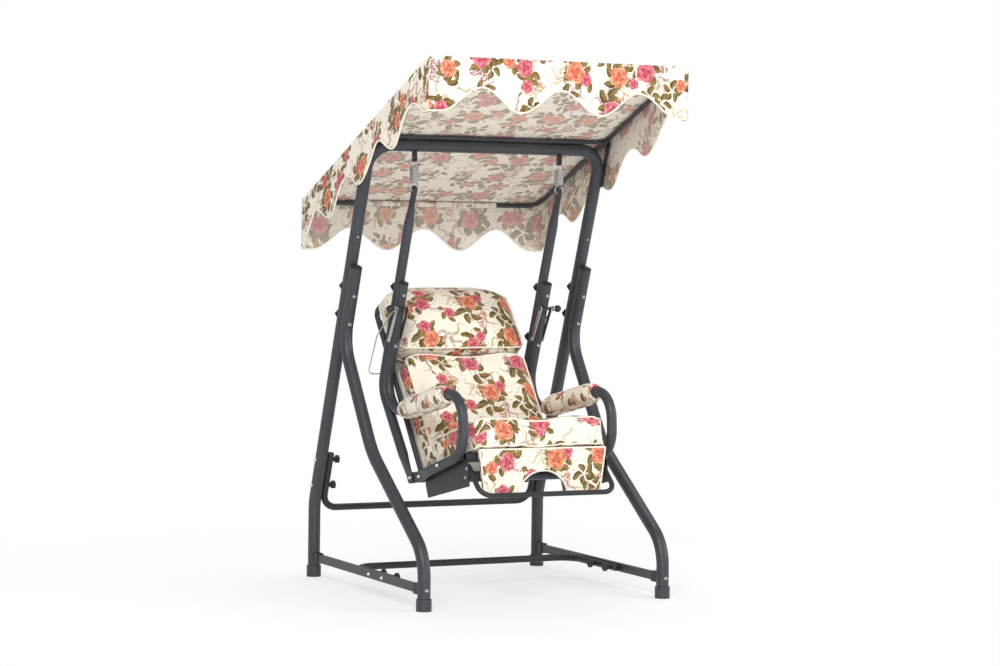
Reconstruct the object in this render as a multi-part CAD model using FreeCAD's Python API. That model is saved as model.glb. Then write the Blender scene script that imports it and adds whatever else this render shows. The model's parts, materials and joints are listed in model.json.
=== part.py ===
"""Single-seat garden swing: a tube stand, a canopy and a padded reclining seat on two springs.

Millimetres, +Z up, +X to the viewer's right, the front of the seat towards -Y.
Heights are taken from the floor and depths from a datum inside the stand; on export the
depth datum moves so that the origin is under the middle of the canopy.
"""
import FreeCAD
import Part
import math
import os

Vec = FreeCAD.Vector
SIDES = (-1, 1)

# Common fits
gap = 0.3
bolt_play = 0.2
pin_play = 0.05
overrun = 5.0
full_turn = 360.0
cubic_cm = 1000.0
seat_play = 0.1

# Stand: side frames
stand_half = 520.0
leg_od = 50.0
leg_wall = 1.5
rear_foot_y = 389.0
rear_bend_z = 308.5
rear_bend_radius = 160.0
top_bar_y = -140.0
top_bar_z = 1780.0
top_bend_radius = 100.0
top_joint_z = 1450.0
spigot_length = 60.0
spigot_play = 0.15
front_foot_y = -703.0
front_bend_z = 211.0
front_bend_radius = 170.0
front_knee_y = -198.0
front_knee_z = 562.0
front_knee_radius = 350.0
front_join_z = 983.0
front_join_radius = 165.0
front_top_z = 1288.0

# Stand: feet and caps
foot_od = 60.0
foot_height = 46.0
foot_floor = 6.0
cap_flange = 4.0
cap_plug = 18.0
cap_dome_share = 0.35

# Stand: rails and cross tubes
rail_z = 81.0
rail_width = 20.0
rail_height = 32.0
rail_wall = 1.5
saddle_width = 28.0
saddle_height = 42.0
saddle_length = 44.0
saddle_web = 14.0
cross_od = 28.0
cross_wall = 1.5
lower_cross_y = 20.0
lower_cross_front_y = -362.0
lower_cross_radius = 80.0
lower_bolt_ys = (-202.0, -329.0)
rear_cross_z = 284.0
rear_cross_top_z = 513.0
rear_cross_radius = 60.0
rear_bolt_zs = (491.0, 382.0)
leg_bolt_zs = (1190.0, 1076.0)

# Bolts and hand knobs
bolt_d = 8.0
head_d = 16.0
head_height = 6.0
head_top_share = 0.6
nut_d = 15.0
nut_height = 6.0
screw_head_d = 10.0
wide_head_d = 14.0
screw_grip = 4.5
screw_head_height = 3.0
knob_d = 34.0
knob_height = 14.0
knob_neck_d = 18.0
knob_neck = 10.0
knob_lobes = 5
knob_valley_share = 0.78
ball_d = 30.0
ball_centre_share = 0.42

# Springs and their tabs
hang_half = 325.0
tab_thickness = 5.0
tab_width = 40.0
tab_bottom_z = 1714.0
tab_hole_z = 1731.0
eye_play = 1.0
spring_od = 39.0
spring_wire = 5.0
spring_half_turns = 21
spring_pitch = 5.6
spring_neck = 20.0
loop_quarters = 3
self_gap_step_share = 0.25
self_gap_skip = 20

# Hangers and arm tubes
arm_od = 40.0
arm_wall = 1.5
eye_flat = 8.0
eye_width = 46.0
eye_taper = 90.0
eye_round_share = 0.9
hang_low_slope = 0.837
hang_low_z = 795.3
hang_end_z = 451.0
hang_radius = 100.0
arm_top_z = 1226.0
arm_rest_y = -52.0
arm_rest_z = 715.0
arm_rest_slope = 0.211
arm_back_radius = 117.0
arm_front_y = -612.0
arm_front_radius = 110.0
arm_chin_y = -628.0
arm_chin_z = 586.0
arm_chin_radius = 105.0
arm_end_y = -226.0
arm_end_z = 464.0
hanger_bolt_zs = (1192.0, 984.0)
arm_bolt_y = -430.0

# Armrest pads
pad_front_y = -486.0
pad_rear_y = -66.0
pad_od = 92.0
pad_end_od = 66.0
pad_bow_share = 0.82

# Seat frame
seat_tube_od = 36.0
seat_tube_wall = 1.5
seat_front_y = -590.0
seat_front_z = 568.0
seat_rear_y = -180.0
seat_rear_z = 457.0
end_plate = 6.0
end_plate_round = 44.0
sling_thickness = 3.0
sling_side_gap = 35.0
sling_lip = 18.0
side_plate = 3.0
plate_points = ((-265.0, 382.0), (-240.0, 432.0), (-246.0, 462.0),
                (-612.0, 572.0), (-628.0, 540.0), (-638.0, 462.0))
low_tube_y = -602.0
low_tube_z = 493.0
foot_bar_od = 20.0
foot_bar_wall = 1.5
foot_bar_y = -722.0
foot_bar_z = 432.0
foot_bar_top_y = -612.0
foot_bar_top_z = 529.0
foot_bar_radius = 50.0
foot_bar_lip = 14.0

# Seat cushion and leg flap
seat_pad_side_gap = 20.0
seat_pad_front = 500.0
seat_pad_rear = 130.0
seat_pad_lean = 46.0
seat_pad_thick = 120.0
pad_crown = 9.0
pad_draw = 7.0
pad_end_bow = 3.0
pad_section_shares = ((-1.0, 1.6, 0.15), (-0.86, 0.0, 0.6), (0.0, 1.0, 1.0),
                      (0.86, 0.0, 0.6), (1.0, 1.6, 0.15))
flap_inset = 9.0
flap_taper = 21.0
flap_thick = 22.0
flap_bottom_z = 428.0
arch_half = 108.0
arch_height = 88.0
flap_corner = 18.0

# Backrest
back_lean = 36.9
back_side_gap = 4.0
back_od = 22.0
back_wall = 1.5
back_length = 845.0
back_radius = 70.0
sleeve_wall = 4.0
sleeve_width = 30.0
sleeve_play = 0.1
back_pad_inset = 18.0
back_pad_start = 26.0
back_pad_end = 518.0
back_pad_thick = 108.0
head_inset = 6.0
head_start = 536.0
head_end = 840.0
head_low_thick = 116.0
head_top_thick = 98.0
head_crown = 38.0
head_section_shares = ((-1.0, 3.0, 0.12), (-0.8, 0.8, 0.62), (0.0, 0.0, 1.0),
                       (0.8, 0.8, 0.62), (1.0, 3.0, 0.12))

# Recline latch
pin_z = 996.0
bar_width = 20.0
bar_thick = 4.0
bar_side_gap = 2.0
rod_d = 12.0
lever_length = 149.0
rod_outside = 16.0
wire_d = 5.0
wire_bend_y = 173.0
wire_bend_z = -114.0
wire_drop_y = 262.0
wire_drop_z = -277.0
wire_bend_radius = 60.0
wire_corner_radius = 25.0

# Canopy
canopy_side_gap = 1.6
canopy_tilt = 23.3
canopy_front_run = 683.0
canopy_rear_run = 668.0
canopy_rise = 15.0
cloth = 3.0
drop_mean = 158.0
drop_wave = 46.0
front_margin = 50.0
front_waves = 3
side_waves = 4
hoop_side_gap = 4.2
hoop_od = 18.0
hoop_wall = 1.2
socket_wall = 2.0
socket_length = 70.0
stud_nut = 5.0
hoop_radius = 60.0
mid_bar_od = 16.0
pivot_z = 1813.0
bracket_thick = 5.0
bracket_width = 22.0
bracket_low_z = 1640.0
bracket_screw_z = 1662.0

# Derived frame values
lean = (top_bar_y - rear_foot_y) / (top_bar_z - rear_bend_z)
lean_norm = math.hypot(1.0, lean)
LEAN_UP = Vec(0, lean / lean_norm, 1.0 / lean_norm)
LEAN_FRONT = Vec(0, -1.0 / lean_norm, lean / lean_norm)
X_AXIS = Vec(1, 0, 0)
spring_radius = (spring_od - spring_wire) / 2
spring_length = spring_half_turns * spring_pitch / 2
hang_pin_z = tab_hole_z - spring_length - 2 * (spring_neck + spring_radius)

# Widths that follow the space between the arm tubes
between_arms = hang_half - arm_od / 2
sling_half = between_arms - sling_side_gap
seat_pad_half = between_arms - seat_pad_side_gap
flap_top_half = seat_pad_half - flap_inset
flap_bottom_half = flap_top_half - flap_taper
back_half = between_arms - back_side_gap - back_od / 2
back_pad_half = back_half - back_pad_inset
head_half = back_half - head_inset

# Widths that follow the stand's uprights, which carry the canopy's brackets
bracket_face = stand_half + leg_od / 2 + gap
stud_face = bracket_face + bracket_thick + seat_play
socket_od = hoop_od + 2 * seat_play + 2 * socket_wall
hoop_half = bracket_face - hoop_side_gap - socket_od / 2
canopy_half = stud_face + stud_nut + canopy_side_gap + cloth


def rear_leg_y(z):
    """Depth of the rear leg's leaning axis at height z."""
    return rear_foot_y + lean * (z - rear_bend_z)


def hanger_y(z):
    """Depth of the hanger's straight axis, parallel to the rear leg."""
    return top_bar_y + lean * (z - hang_pin_z)


def lean_point(x, y_of_z, z, forward=0.0):
    """Point beside a leaning axis, set forward at a right angle to it."""
    return Vec(x, y_of_z(z) - forward * lean_norm, z)


def corner_points(start, corner, end):
    """Start, middle and end of the arc tangent to the two lines that meet at the corner."""
    back = (start - corner).normalize()
    ahead = (end - corner).normalize()
    half = back.getAngle(ahead) / 2
    radius = start.distanceToPoint(corner) * math.tan(half)
    middle = corner + (back + ahead).normalize() * (radius / math.sin(half) - radius)
    return start, middle, end


def arc_edge(points):
    """Arc edge through its start, middle and end."""
    return Part.Arc(points[0], points[1], points[2]).toShape()


def corner_arc(start, corner, end):
    """Arc edge that rounds the corner between start and end."""
    return arc_edge(corner_points(start, corner, end))


def bent_wire(points, radii):
    """Straight runs through the points, each inner corner rounded by its radius."""
    edges = []
    start = points[0]
    for before, corner, after, radius in zip(points, points[1:], points[2:], radii):
        back = (before - corner).normalize()
        ahead = (after - corner).normalize()
        reach = radius / math.tan(back.getAngle(ahead) / 2)
        turn_in = corner + back * reach
        turn_out = corner + ahead * reach
        edges.append(Part.LineSegment(start, turn_in).toShape())
        edges.append(corner_arc(turn_in, corner, turn_out))
        start = turn_out
    edges.append(Part.LineSegment(start, points[-1]).toShape())
    return Part.Wire(edges)


def round_bar(wire, diameter):
    """Solid round bar along a wire."""
    edge = wire.Edges[0]
    start = edge.valueAt(edge.FirstParameter)
    ring = Part.Circle(start, edge.tangentAt(edge.FirstParameter), diameter / 2)
    return wire.makePipeShell([Part.Wire([ring.toShape()])], True, False)


def bent_tube(points, radii, od, wall):
    """Open-ended round tube along a bent path."""
    wire = bent_wire(points, radii)
    return round_bar(wire, od).cut(round_bar(wire, od - 2 * wall))


def rod(start, direction, length, diameter):
    """Straight cylinder from a point."""
    return Part.makeCylinder(diameter / 2, length, start, direction)


def bolt(head_seat, direction, length, diameter=bolt_d, head=head_d, height=head_height):
    """Bolt whose low cone head sits at head_seat, with its shank along direction."""
    shank = rod(head_seat, direction, length, diameter)
    crown = Part.makeCone(head / 2, head * head_top_share / 2, height, head_seat, direction * -1)
    return shank.fuse(crown)


def nut(seat, direction):
    """Round nut that starts at seat."""
    return rod(seat, direction, nut_height, nut_d)


def knob(seat, direction):
    """Lobed hand knob on a neck, its neck starting at seat."""
    neck = rod(seat, direction, knob_neck, knob_neck_d)
    ring = []
    for index in range(knob_lobes):
        for part in range(2):
            turn = 2 * math.pi * (index + part / 2) / knob_lobes
            reach = knob_d / 2 * (1.0 if part else knob_valley_share)
            ring.append(Vec(reach * math.cos(turn), reach * math.sin(turn), 0))
    edges = []
    for index in range(knob_lobes):
        valley = ring[2 * index]
        crest = ring[2 * index + 1]
        after = ring[(2 * index + 2) % len(ring)]
        edges.append(Part.Arc(valley, crest, after).toShape())
    head = Part.Face(Part.Wire(edges)).extrude(Vec(0, 0, knob_height))
    turn = FreeCAD.Rotation(Vec(0, 0, 1), direction)
    head.Placement = FreeCAD.Placement(seat + direction * knob_neck, turn)
    return neck.fuse(head)


def tube_cap(centre, direction, od, wall):
    """Domed end cap with a plug; direction points out of the tube."""
    plug = rod(centre, direction * -1, cap_plug, od - 2 * wall - 2 * seat_play)
    rise = od * cap_dome_share / 2
    flange = rod(centre, direction, cap_flange, od)
    ball_radius = (od * od / 4 + rise * rise) / (2 * rise)
    centre_ball = centre + direction * (cap_flange + rise - ball_radius)
    ball = Part.makeSphere(ball_radius, centre_ball)
    dome = ball.common(rod(centre + direction * cap_flange, direction, rise + overrun, od))
    return plug.fuse([flange, dome]).removeSplitter()


def group(solids):
    """Several separate solids under one name."""
    return Part.makeCompound(solids)


def both_sides(maker):
    """The same piece made for the left and the right side."""
    return group([maker(side) for side in SIDES])


def drilled(shape, cutters):
    """Shape with clearance holes for the given rods."""
    return shape.cut(cutters)


# Stand

def leg_bolt_seat(side, z):
    """Front face of the front leg where a leg bolt's head sits."""
    middle = lean_point(side * stand_half, rear_leg_y, z, (leg_od + gap) / 2)
    return middle + LEAN_FRONT * (leg_od + gap / 2 + seat_play)


def leg_bolt_length():
    """From the front leg's front face to the back of the rear leg's knob neck."""
    return 2 * leg_od + gap + 2 * seat_play + knob_neck


def leg_bolt_holes(side):
    """Clearance rods for the bolts that clamp front leg to rear leg."""
    holes = []
    for z in leg_bolt_zs:
        seat = leg_bolt_seat(side, z)
        holes.append(rod(seat, LEAN_FRONT * -1, leg_bolt_length(), bolt_d + 2 * bolt_play))
    return holes


def cross_bolt_seats(side):
    """Outer faces of rear leg and side rail where cross tube bolt heads sit."""
    outward = Vec(side, 0, 0)
    seats = []
    for z in rear_bolt_zs:
        seats.append(Vec(side * stand_half, rear_leg_y(z), z) + outward * (leg_od / 2 + seat_play))
    for y in lower_bolt_ys:
        seats.append(Vec(side * stand_half, y, rail_z) + outward * (rail_width / 2))
    return seats


def cross_bolt_lengths():
    """Grip of the rear leg and of the rail bolts, in the order of their seats."""
    through_leg = leg_od + gap + cross_od + 2 * seat_play + knob_neck
    through_rail = rail_width + gap + cross_od + seat_play + knob_neck
    return [through_leg] * len(rear_bolt_zs) + [through_rail] * len(lower_bolt_ys)


def cross_bolt_holes(side):
    """Clearance rods for the cross tube bolts of one side."""
    inward = Vec(-side, 0, 0)
    pairs = zip(cross_bolt_seats(side), cross_bolt_lengths())
    return [rod(seat, inward, length, bolt_d + 2 * bolt_play) for seat, length in pairs]


def rail_bolt_seats(side):
    """Outer faces of front and rear leg where the rail end bolts sit, with their inward way."""
    reach = leg_od / 2 + seat_play
    front = Vec(side * stand_half, front_foot_y - reach, rail_z)
    rear = Vec(side * stand_half, rear_foot_y + reach, rail_z)
    return ((front, Vec(0, 1, 0)), (rear, Vec(0, -1, 0)))


def rail_bolt_length():
    """Through the leg and the saddle's web into the rail."""
    return leg_od + saddle_length


def rail_bolt_holes(side):
    """Clearance rods for the rail end bolts of one side."""
    play = bolt_d + 2 * bolt_play
    return [rod(seat, way, rail_bolt_length(), play) for seat, way in rail_bolt_seats(side)]


def top_screw_seat(side):
    """Front face of the rear leg where the top frame's lock screw sits."""
    z = top_joint_z - spigot_length / 2
    return lean_point(side * stand_half, rear_leg_y, z) + LEAN_FRONT * (leg_od / 2 + seat_play)


def top_screw_hole(side):
    """Clearance rod through the leg's front wall and the spigot."""
    return rod(top_screw_seat(side), LEAN_FRONT * -1, leg_od / 2, bolt_d + 2 * bolt_play)


def rear_leg(side):
    x = side * stand_half
    path = [
        Vec(x, rear_foot_y, foot_floor),
        Vec(x, rear_foot_y, rear_bend_z),
        lean_point(x, rear_leg_y, top_joint_z),
    ]
    tube = bent_tube(path, [rear_bend_radius], leg_od, leg_wall)
    holes = leg_bolt_holes(side) + cross_bolt_holes(side) + rail_bolt_holes(side) + [top_screw_hole(side)]
    return drilled(tube, holes)


def front_leg(side):
    x = side * stand_half
    beside = leg_od + gap
    path = [
        Vec(x, front_foot_y, foot_floor),
        Vec(x, front_foot_y, front_bend_z),
        Vec(x, front_knee_y, front_knee_z),
        lean_point(x, rear_leg_y, front_join_z, beside),
        lean_point(x, rear_leg_y, front_top_z, beside),
    ]
    radii = [front_bend_radius, front_knee_radius, front_join_radius]
    tube = bent_tube(path, radii, leg_od, leg_wall)
    return drilled(tube, leg_bolt_holes(side) + rail_bolt_holes(side))


def top_frame_path():
    """Path of the top bar and the upper parts of both uprights."""
    left = -stand_half
    return [
        lean_point(left, rear_leg_y, top_joint_z),
        Vec(left, top_bar_y, top_bar_z),
        Vec(stand_half, top_bar_y, top_bar_z),
        lean_point(stand_half, rear_leg_y, top_joint_z),
    ]


def top_frame():
    tube = bent_tube(top_frame_path(), [top_bend_radius] * 2, leg_od, leg_wall)
    spigot_od = leg_od - 2 * leg_wall - 2 * spigot_play
    solids = []
    for side in SIDES:
        end = lean_point(side * stand_half, rear_leg_y, top_joint_z)
        outer = rod(end + LEAN_UP * spigot_length, LEAN_UP * -1, 2 * spigot_length, leg_od - 2 * leg_wall)
        slip = rod(end, LEAN_UP * -1, spigot_length, spigot_od)
        sleeve = outer.common(rod(end, LEAN_UP, spigot_length, leg_od)).fuse(slip)
        bore = rod(end + LEAN_UP * spigot_length, LEAN_UP * -1, 2 * spigot_length, spigot_od - 2 * leg_wall)
        solids.append(sleeve.cut(bore).cut(top_screw_hole(side)))
    return tube.fuse(solids).removeSplitter()


def side_rail(side):
    front = front_foot_y + leg_od / 2 + saddle_web
    rear = rear_foot_y - leg_od / 2 - saddle_web
    corner = Vec(side * stand_half - rail_width / 2, front, rail_z - rail_height / 2)
    outer = Part.makeBox(rail_width, rear - front, rail_height, corner)
    inner_corner = corner + Vec(rail_wall, 0, rail_wall)
    inner = Part.makeBox(rail_width - 2 * rail_wall, rear - front, rail_height - 2 * rail_wall, inner_corner)
    return drilled(outer.cut(inner), cross_bolt_holes(side))


def rail_saddle(side, leg_y, way):
    """Moulded cup between a leg and a rail end; way is +1 towards the rear."""
    far = way * (leg_od / 2 + saddle_length)
    low = min(leg_y, leg_y + far)
    x = side * stand_half
    block = Part.makeBox(saddle_width, abs(far), saddle_height,
                         Vec(x - saddle_width / 2, low, rail_z - saddle_height / 2))
    pocket_near = leg_y + way * (leg_od / 2 + saddle_web)
    pocket_low = min(pocket_near, leg_y + far)
    pocket_x = rail_width + 2 * seat_play
    pocket_z = rail_height + 2 * seat_play
    pocket = Part.makeBox(pocket_x, saddle_length - saddle_web, pocket_z,
                          Vec(x - pocket_x / 2, pocket_low, rail_z - pocket_z / 2))
    leg = Part.makeCylinder(leg_od / 2 + seat_play, saddle_height + 2 * overrun,
                            Vec(x, leg_y, rail_z - saddle_height / 2 - overrun))
    return drilled(block.cut([pocket, leg]), rail_bolt_holes(side))


def rail_saddles():
    solids = []
    for side in SIDES:
        solids.append(rail_saddle(side, front_foot_y, 1))
        solids.append(rail_saddle(side, rear_foot_y, -1))
    return group(solids)


def rear_cross_x():
    return stand_half - leg_od / 2 - cross_od / 2 - gap


def lower_cross_x():
    return stand_half - rail_width / 2 - cross_od / 2 - gap


def rear_cross_tube():
    x = rear_cross_x()
    path = [
        lean_point(-x, rear_leg_y, rear_cross_top_z),
        lean_point(-x, rear_leg_y, rear_cross_z),
        lean_point(x, rear_leg_y, rear_cross_z),
        lean_point(x, rear_leg_y, rear_cross_top_z),
    ]
    tube = bent_tube(path, [rear_cross_radius] * 2, cross_od, cross_wall)
    return drilled(tube, cross_bolt_holes(-1) + cross_bolt_holes(1))


def lower_cross_tube():
    x = lower_cross_x()
    path = [
        Vec(-x, lower_cross_front_y, rail_z),
        Vec(-x, lower_cross_y, rail_z),
        Vec(x, lower_cross_y, rail_z),
        Vec(x, lower_cross_front_y, rail_z),
    ]
    tube = bent_tube(path, [lower_cross_radius] * 2, cross_od, cross_wall)
    return drilled(tube, cross_bolt_holes(-1) + cross_bolt_holes(1))


def cross_tube_caps():
    solids = []
    for side in SIDES:
        high = lean_point(side * rear_cross_x(), rear_leg_y, rear_cross_top_z)
        low = Vec(side * lower_cross_x(), lower_cross_front_y, rail_z)
        solids.append(tube_cap(high, LEAN_UP, cross_od, cross_wall))
        solids.append(tube_cap(low, Vec(0, -1, 0), cross_od, cross_wall))
    return group(solids)


def cross_tube_bolts():
    solids = []
    for side in SIDES:
        for seat, length in zip(cross_bolt_seats(side), cross_bolt_lengths()):
            solids.append(bolt(seat, Vec(-side, 0, 0), length))
    return group(solids)


def cross_tube_knobs():
    solids = []
    for side in SIDES:
        for seat, length in zip(cross_bolt_seats(side), cross_bolt_lengths()):
            inward = Vec(-side, 0, 0)
            neck_seat = seat + inward * (length - knob_neck + seat_play)
            hole = rod(seat, inward, length + seat_play, bolt_d + 2 * bolt_play)
            solids.append(knob(neck_seat, inward).cut(hole))
    return group(solids)


def leg_bolts():
    solids = []
    for side in SIDES:
        for z in leg_bolt_zs:
            solids.append(bolt(leg_bolt_seat(side, z), LEAN_FRONT * -1, leg_bolt_length()))
    return group(solids)


def leg_knobs():
    solids = []
    for side in SIDES:
        for z in leg_bolt_zs:
            seat = leg_bolt_seat(side, z)
            neck_seat = seat - LEAN_FRONT * (leg_bolt_length() - knob_neck + seat_play)
            hole = rod(seat, LEAN_FRONT * -1, leg_bolt_length() + seat_play, bolt_d + 2 * bolt_play)
            solids.append(knob(neck_seat, LEAN_FRONT * -1).cut(hole))
    return group(solids)


def rail_end_bolts():
    solids = []
    for side in SIDES:
        for seat, way in rail_bolt_seats(side):
            solids.append(bolt(seat, way, rail_bolt_length()))
    return group(solids)


def top_frame_screws():
    length = screw_grip + spigot_play + seat_play
    maker = lambda side: bolt(top_screw_seat(side), LEAN_FRONT * -1, length, bolt_d,
                              screw_head_d, screw_head_height)
    return both_sides(maker)


def foot_caps():
    solids = []
    for side in SIDES:
        for y in (front_foot_y, rear_foot_y):
            base = Vec(side * stand_half, y, 0)
            cup = rod(base, Vec(0, 0, 1), foot_height, foot_od)
            bore = rod(base + Vec(0, 0, foot_floor), Vec(0, 0, 1), foot_height, leg_od + 2 * seat_play)
            solids.append(cup.cut(bore))
    return group(solids)


def front_leg_caps():
    maker = lambda side: tube_cap(lean_point(side * stand_half, rear_leg_y, front_top_z, leg_od + gap),
                                  LEAN_UP, leg_od, leg_wall)
    return both_sides(maker)


def spring_tab(side):
    x = side * hang_half - tab_thickness / 2
    height = top_bar_z - tab_bottom_z
    plate = Part.makeBox(tab_thickness, tab_width, height, Vec(x, top_bar_y - tab_width / 2, tab_bottom_z))
    low_edges = [edge for edge in plate.Edges if abs(edge.CenterOfMass.z - tab_bottom_z) < gap]
    corner_edges = [edge for edge in low_edges if edge.Length < tab_width / 2]
    plate = plate.makeFillet(tab_width / 4, corner_edges)
    bar = Part.makeCylinder(leg_od / 2 + seat_play, 2 * hang_half + tab_width,
                            Vec(-hang_half - tab_width / 2, top_bar_y, top_bar_z), X_AXIS)
    hole = rod(Vec(x - overrun, top_bar_y, tab_hole_z), X_AXIS, tab_thickness + 2 * overrun,
               spring_wire + 2 * eye_play)
    return plate.cut([bar, hole])


def spring_tabs():
    return both_sides(spring_tab)


# Springs

def biarc(start, start_way, end, end_way):
    """Points of two tangent arcs between two points with given unit directions."""
    across = end - start
    ways = start_way + end_way
    a = 2 * (1 - start_way.dot(end_way))
    b = 2 * across.dot(ways)
    c = -across.dot(across)
    reach = (-b + math.sqrt(b * b - 4 * a * c)) / (2 * a)
    first = start + start_way * reach
    second = end - end_way * reach
    joint = (first + second) / 2
    return [corner_points(start, first, joint), corner_points(joint, second, end)]


def coil_point(centre, half_turns):
    """Point and direction on the coil, counted in half turns from its lower end."""
    turn = math.pi / 2 + math.pi * half_turns
    rise = spring_pitch / (2 * math.pi)
    way = Vec(-spring_radius * math.sin(turn), spring_radius * math.cos(turn), rise)
    height = half_turns * spring_pitch / 2 - spring_length / 2
    point = centre + Vec(spring_radius * math.cos(turn), spring_radius * math.sin(turn), height)
    return point, way.normalize()


def loop_point(centre, quarter):
    """Point on the upper end loop, in quarter turns from its right side, in the XZ plane."""
    turn = math.pi / 2 * quarter
    middle = centre + Vec(0, 0, spring_length / 2 + spring_neck)
    return middle + Vec(spring_radius * math.cos(turn), 0, spring_radius * math.sin(turn))


def upper_hook(centre):
    """Arcs from the coil's upper end round the end loop."""
    end, way = coil_point(centre, spring_half_turns)
    arcs = biarc(end, way, loop_point(centre, 0), Vec(0, 0, 1))
    for quarter in range(loop_quarters):
        arcs.append([loop_point(centre, quarter + share) for share in (0, 0.5, 1)])
    return arcs


def turned_over(centre, point):
    """The point after half a turn about the spring's cross axis."""
    return Vec(point.x, 2 * centre.y - point.y, 2 * centre.z - point.z)


def spring_edges(centre):
    """The spring's centre line from its lower loop to its upper loop."""
    upper = upper_hook(centre)
    lower = [[turned_over(centre, point) for point in reversed(arc)] for arc in reversed(upper)]
    coil = []
    for index in range(2 * spring_half_turns):
        start, start_way = coil_point(centre, index / 2)
        end, end_way = coil_point(centre, (index + 1) / 2)
        coil.extend(biarc(start, start_way, end, end_way))
    return [arc_edge(arc) for arc in lower + coil + upper]


def least_self_gap(edges):
    """Least clear distance between turns of the wire, measured on points."""
    points = []
    for edge in edges:
        steps = max(2, int(edge.Length / (spring_wire * self_gap_step_share)))
        points.extend(edge.discretize(steps)[:-1])
    least = spring_od
    for index, point in enumerate(points):
        for other in points[index + self_gap_skip:]:
            least = min(least, point.distanceToPoint(other))
    return least - spring_wire


def spring(side):
    centre_z = (tab_hole_z + hang_pin_z) / 2
    edges = spring_edges(Vec(side * hang_half, top_bar_y, centre_z))
    print("spring least self gap", round(least_self_gap(edges), 3))
    return round_bar(Part.Wire(edges), spring_wire)


# Hangers and arms

def flat_section(centre, along, half_thick, half_width, round_share):
    """Closed outline across a flattened tube: flat faces to the sides, round edges."""
    wide = along.cross(X_AXIS).normalize()
    shoulder = half_width - half_thick * round_share
    points = []
    for turn in ((1, -1), (1, 1), (-1, 1), (-1, -1)):
        points.append(centre + X_AXIS * (turn[0] * half_thick) + wide * (turn[1] * shoulder))
    edges = [
        Part.LineSegment(points[0], points[1]).toShape(),
        Part.Arc(points[1], centre + wide * half_width, points[2]).toShape(),
        Part.LineSegment(points[2], points[3]).toShape(),
        Part.Arc(points[3], centre - wide * half_width, points[0]).toShape(),
    ]
    return Part.Wire(edges)


def round_section(centre, along, radius):
    """Circle in four arcs whose joints face the corners of the flat section."""
    wide = along.cross(X_AXIS).normalize()
    points = [centre + (X_AXIS * a + wide * b) * (radius / math.sqrt(2))
              for a, b in ((1, -1), (1, 1), (-1, 1), (-1, -1))]
    tops = [X_AXIS, wide, X_AXIS * -1, wide * -1]
    edges = []
    for index, top in enumerate(tops):
        edges.append(Part.Arc(points[index], centre + top * radius, points[(index + 1) % 4]).toShape())
    return Part.Wire(edges)


def flat_eye(root, along, hole, hole_d):
    """Flattened tube end from the round root to an eye round the hole centre."""
    end = root + along * eye_taper
    eye_section = flat_section(end, along, eye_flat / 2, eye_width / 2, eye_round_share)
    taper = Part.makeLoft([round_section(root, along, arm_od / 2), eye_section], True, True)
    outline = Part.Face(eye_section)
    blade = outline.extrude(hole - end)
    tip = rod(hole - X_AXIS * (eye_flat / 2), X_AXIS, eye_flat, eye_width)
    cutter = rod(hole - X_AXIS * eye_width, X_AXIS, 2 * eye_width, hole_d)
    return taper.fuse([blade, tip]).cut(cutter)


def hanger_low_y(z):
    """Depth of the hanger's lower, forward-going run."""
    return hanger_y(hang_low_z) - hang_low_slope * (hang_low_z - z)


def hang_end_hole(side):
    return Vec(side * hang_half, hanger_low_y(hang_end_z), hang_end_z)


def arm_end_hole(side):
    return Vec(side * hang_half, arm_end_y, arm_end_z)


def hanger_bolt_seat(side, z):
    """Front face of the arm tube where a hanger bolt's head sits."""
    middle = lean_point(side * hang_half, hanger_y, z, (arm_od + gap) / 2)
    return middle + LEAN_FRONT * (arm_od + gap / 2 + seat_play)


def hanger_bolt_length():
    return 2 * arm_od + gap + 2 * seat_play + knob_neck


def hanger_bolt_holes(side):
    play = bolt_d + 2 * bolt_play
    return [rod(hanger_bolt_seat(side, z), LEAN_FRONT * -1, hanger_bolt_length(), play)
            for z in hanger_bolt_zs]


def hanger(side):
    x = side * hang_half
    top_hole = Vec(x, top_bar_y, hang_pin_z)
    low_hole = hang_end_hole(side)
    corner = lean_point(x, hanger_y, hang_low_z)
    down = (low_hole - corner).normalize()
    top_root = top_hole - LEAN_UP * (eye_taper + eye_width)
    low_root = low_hole - down * (eye_taper + eye_width / 2)
    tube = bent_tube([top_root, corner, low_root], [hang_radius], arm_od, arm_wall)
    top_eye = flat_eye(top_root, LEAN_UP, top_hole, spring_wire + 2 * eye_play)
    low_eye = flat_eye(low_root, down, low_hole, bolt_d + 2 * bolt_play)
    return drilled(tube.fuse([top_eye, low_eye]), hanger_bolt_holes(side))


def arm_rest_height(y):
    """Height of the sloping armrest run at a depth."""
    return arm_rest_z - arm_rest_slope * (y - arm_rest_y)


def arm_axis_y(z):
    """Depth of the arm tube's upright run, in front of the hanger."""
    return hanger_y(z) - (arm_od + gap) * lean_norm


def arm_corner():
    """Where the upright run and the armrest run would meet."""
    base = arm_axis_y(0)
    y = (base + lean * arm_rest_height(0)) / (1 + lean * arm_rest_slope)
    return y, arm_rest_height(y)


def arm_low_height(y):
    """Height of the arm's lower run at a depth."""
    return arm_end_z + (arm_chin_z - arm_end_z) * (y - arm_end_y) / (arm_chin_y - arm_end_y)


def arm_bolt_spot(side):
    """Middle of the lower run where the arm is bolted to the side plate."""
    return Vec(side * hang_half, arm_bolt_y, arm_low_height(arm_bolt_y))


def arm_bolt_hole(side):
    spot = arm_bolt_spot(side)
    return rod(spot - X_AXIS * eye_width, X_AXIS, 2 * eye_width, bolt_d + 2 * bolt_play)


def lever_pin_spot(side):
    return Vec(side * hang_half, arm_axis_y(pin_z), pin_z)


def lever_pin_hole(side):
    spot = lever_pin_spot(side)
    return rod(spot - X_AXIS * eye_width, X_AXIS, 2 * eye_width, bolt_d + 2 * pin_play)


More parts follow.
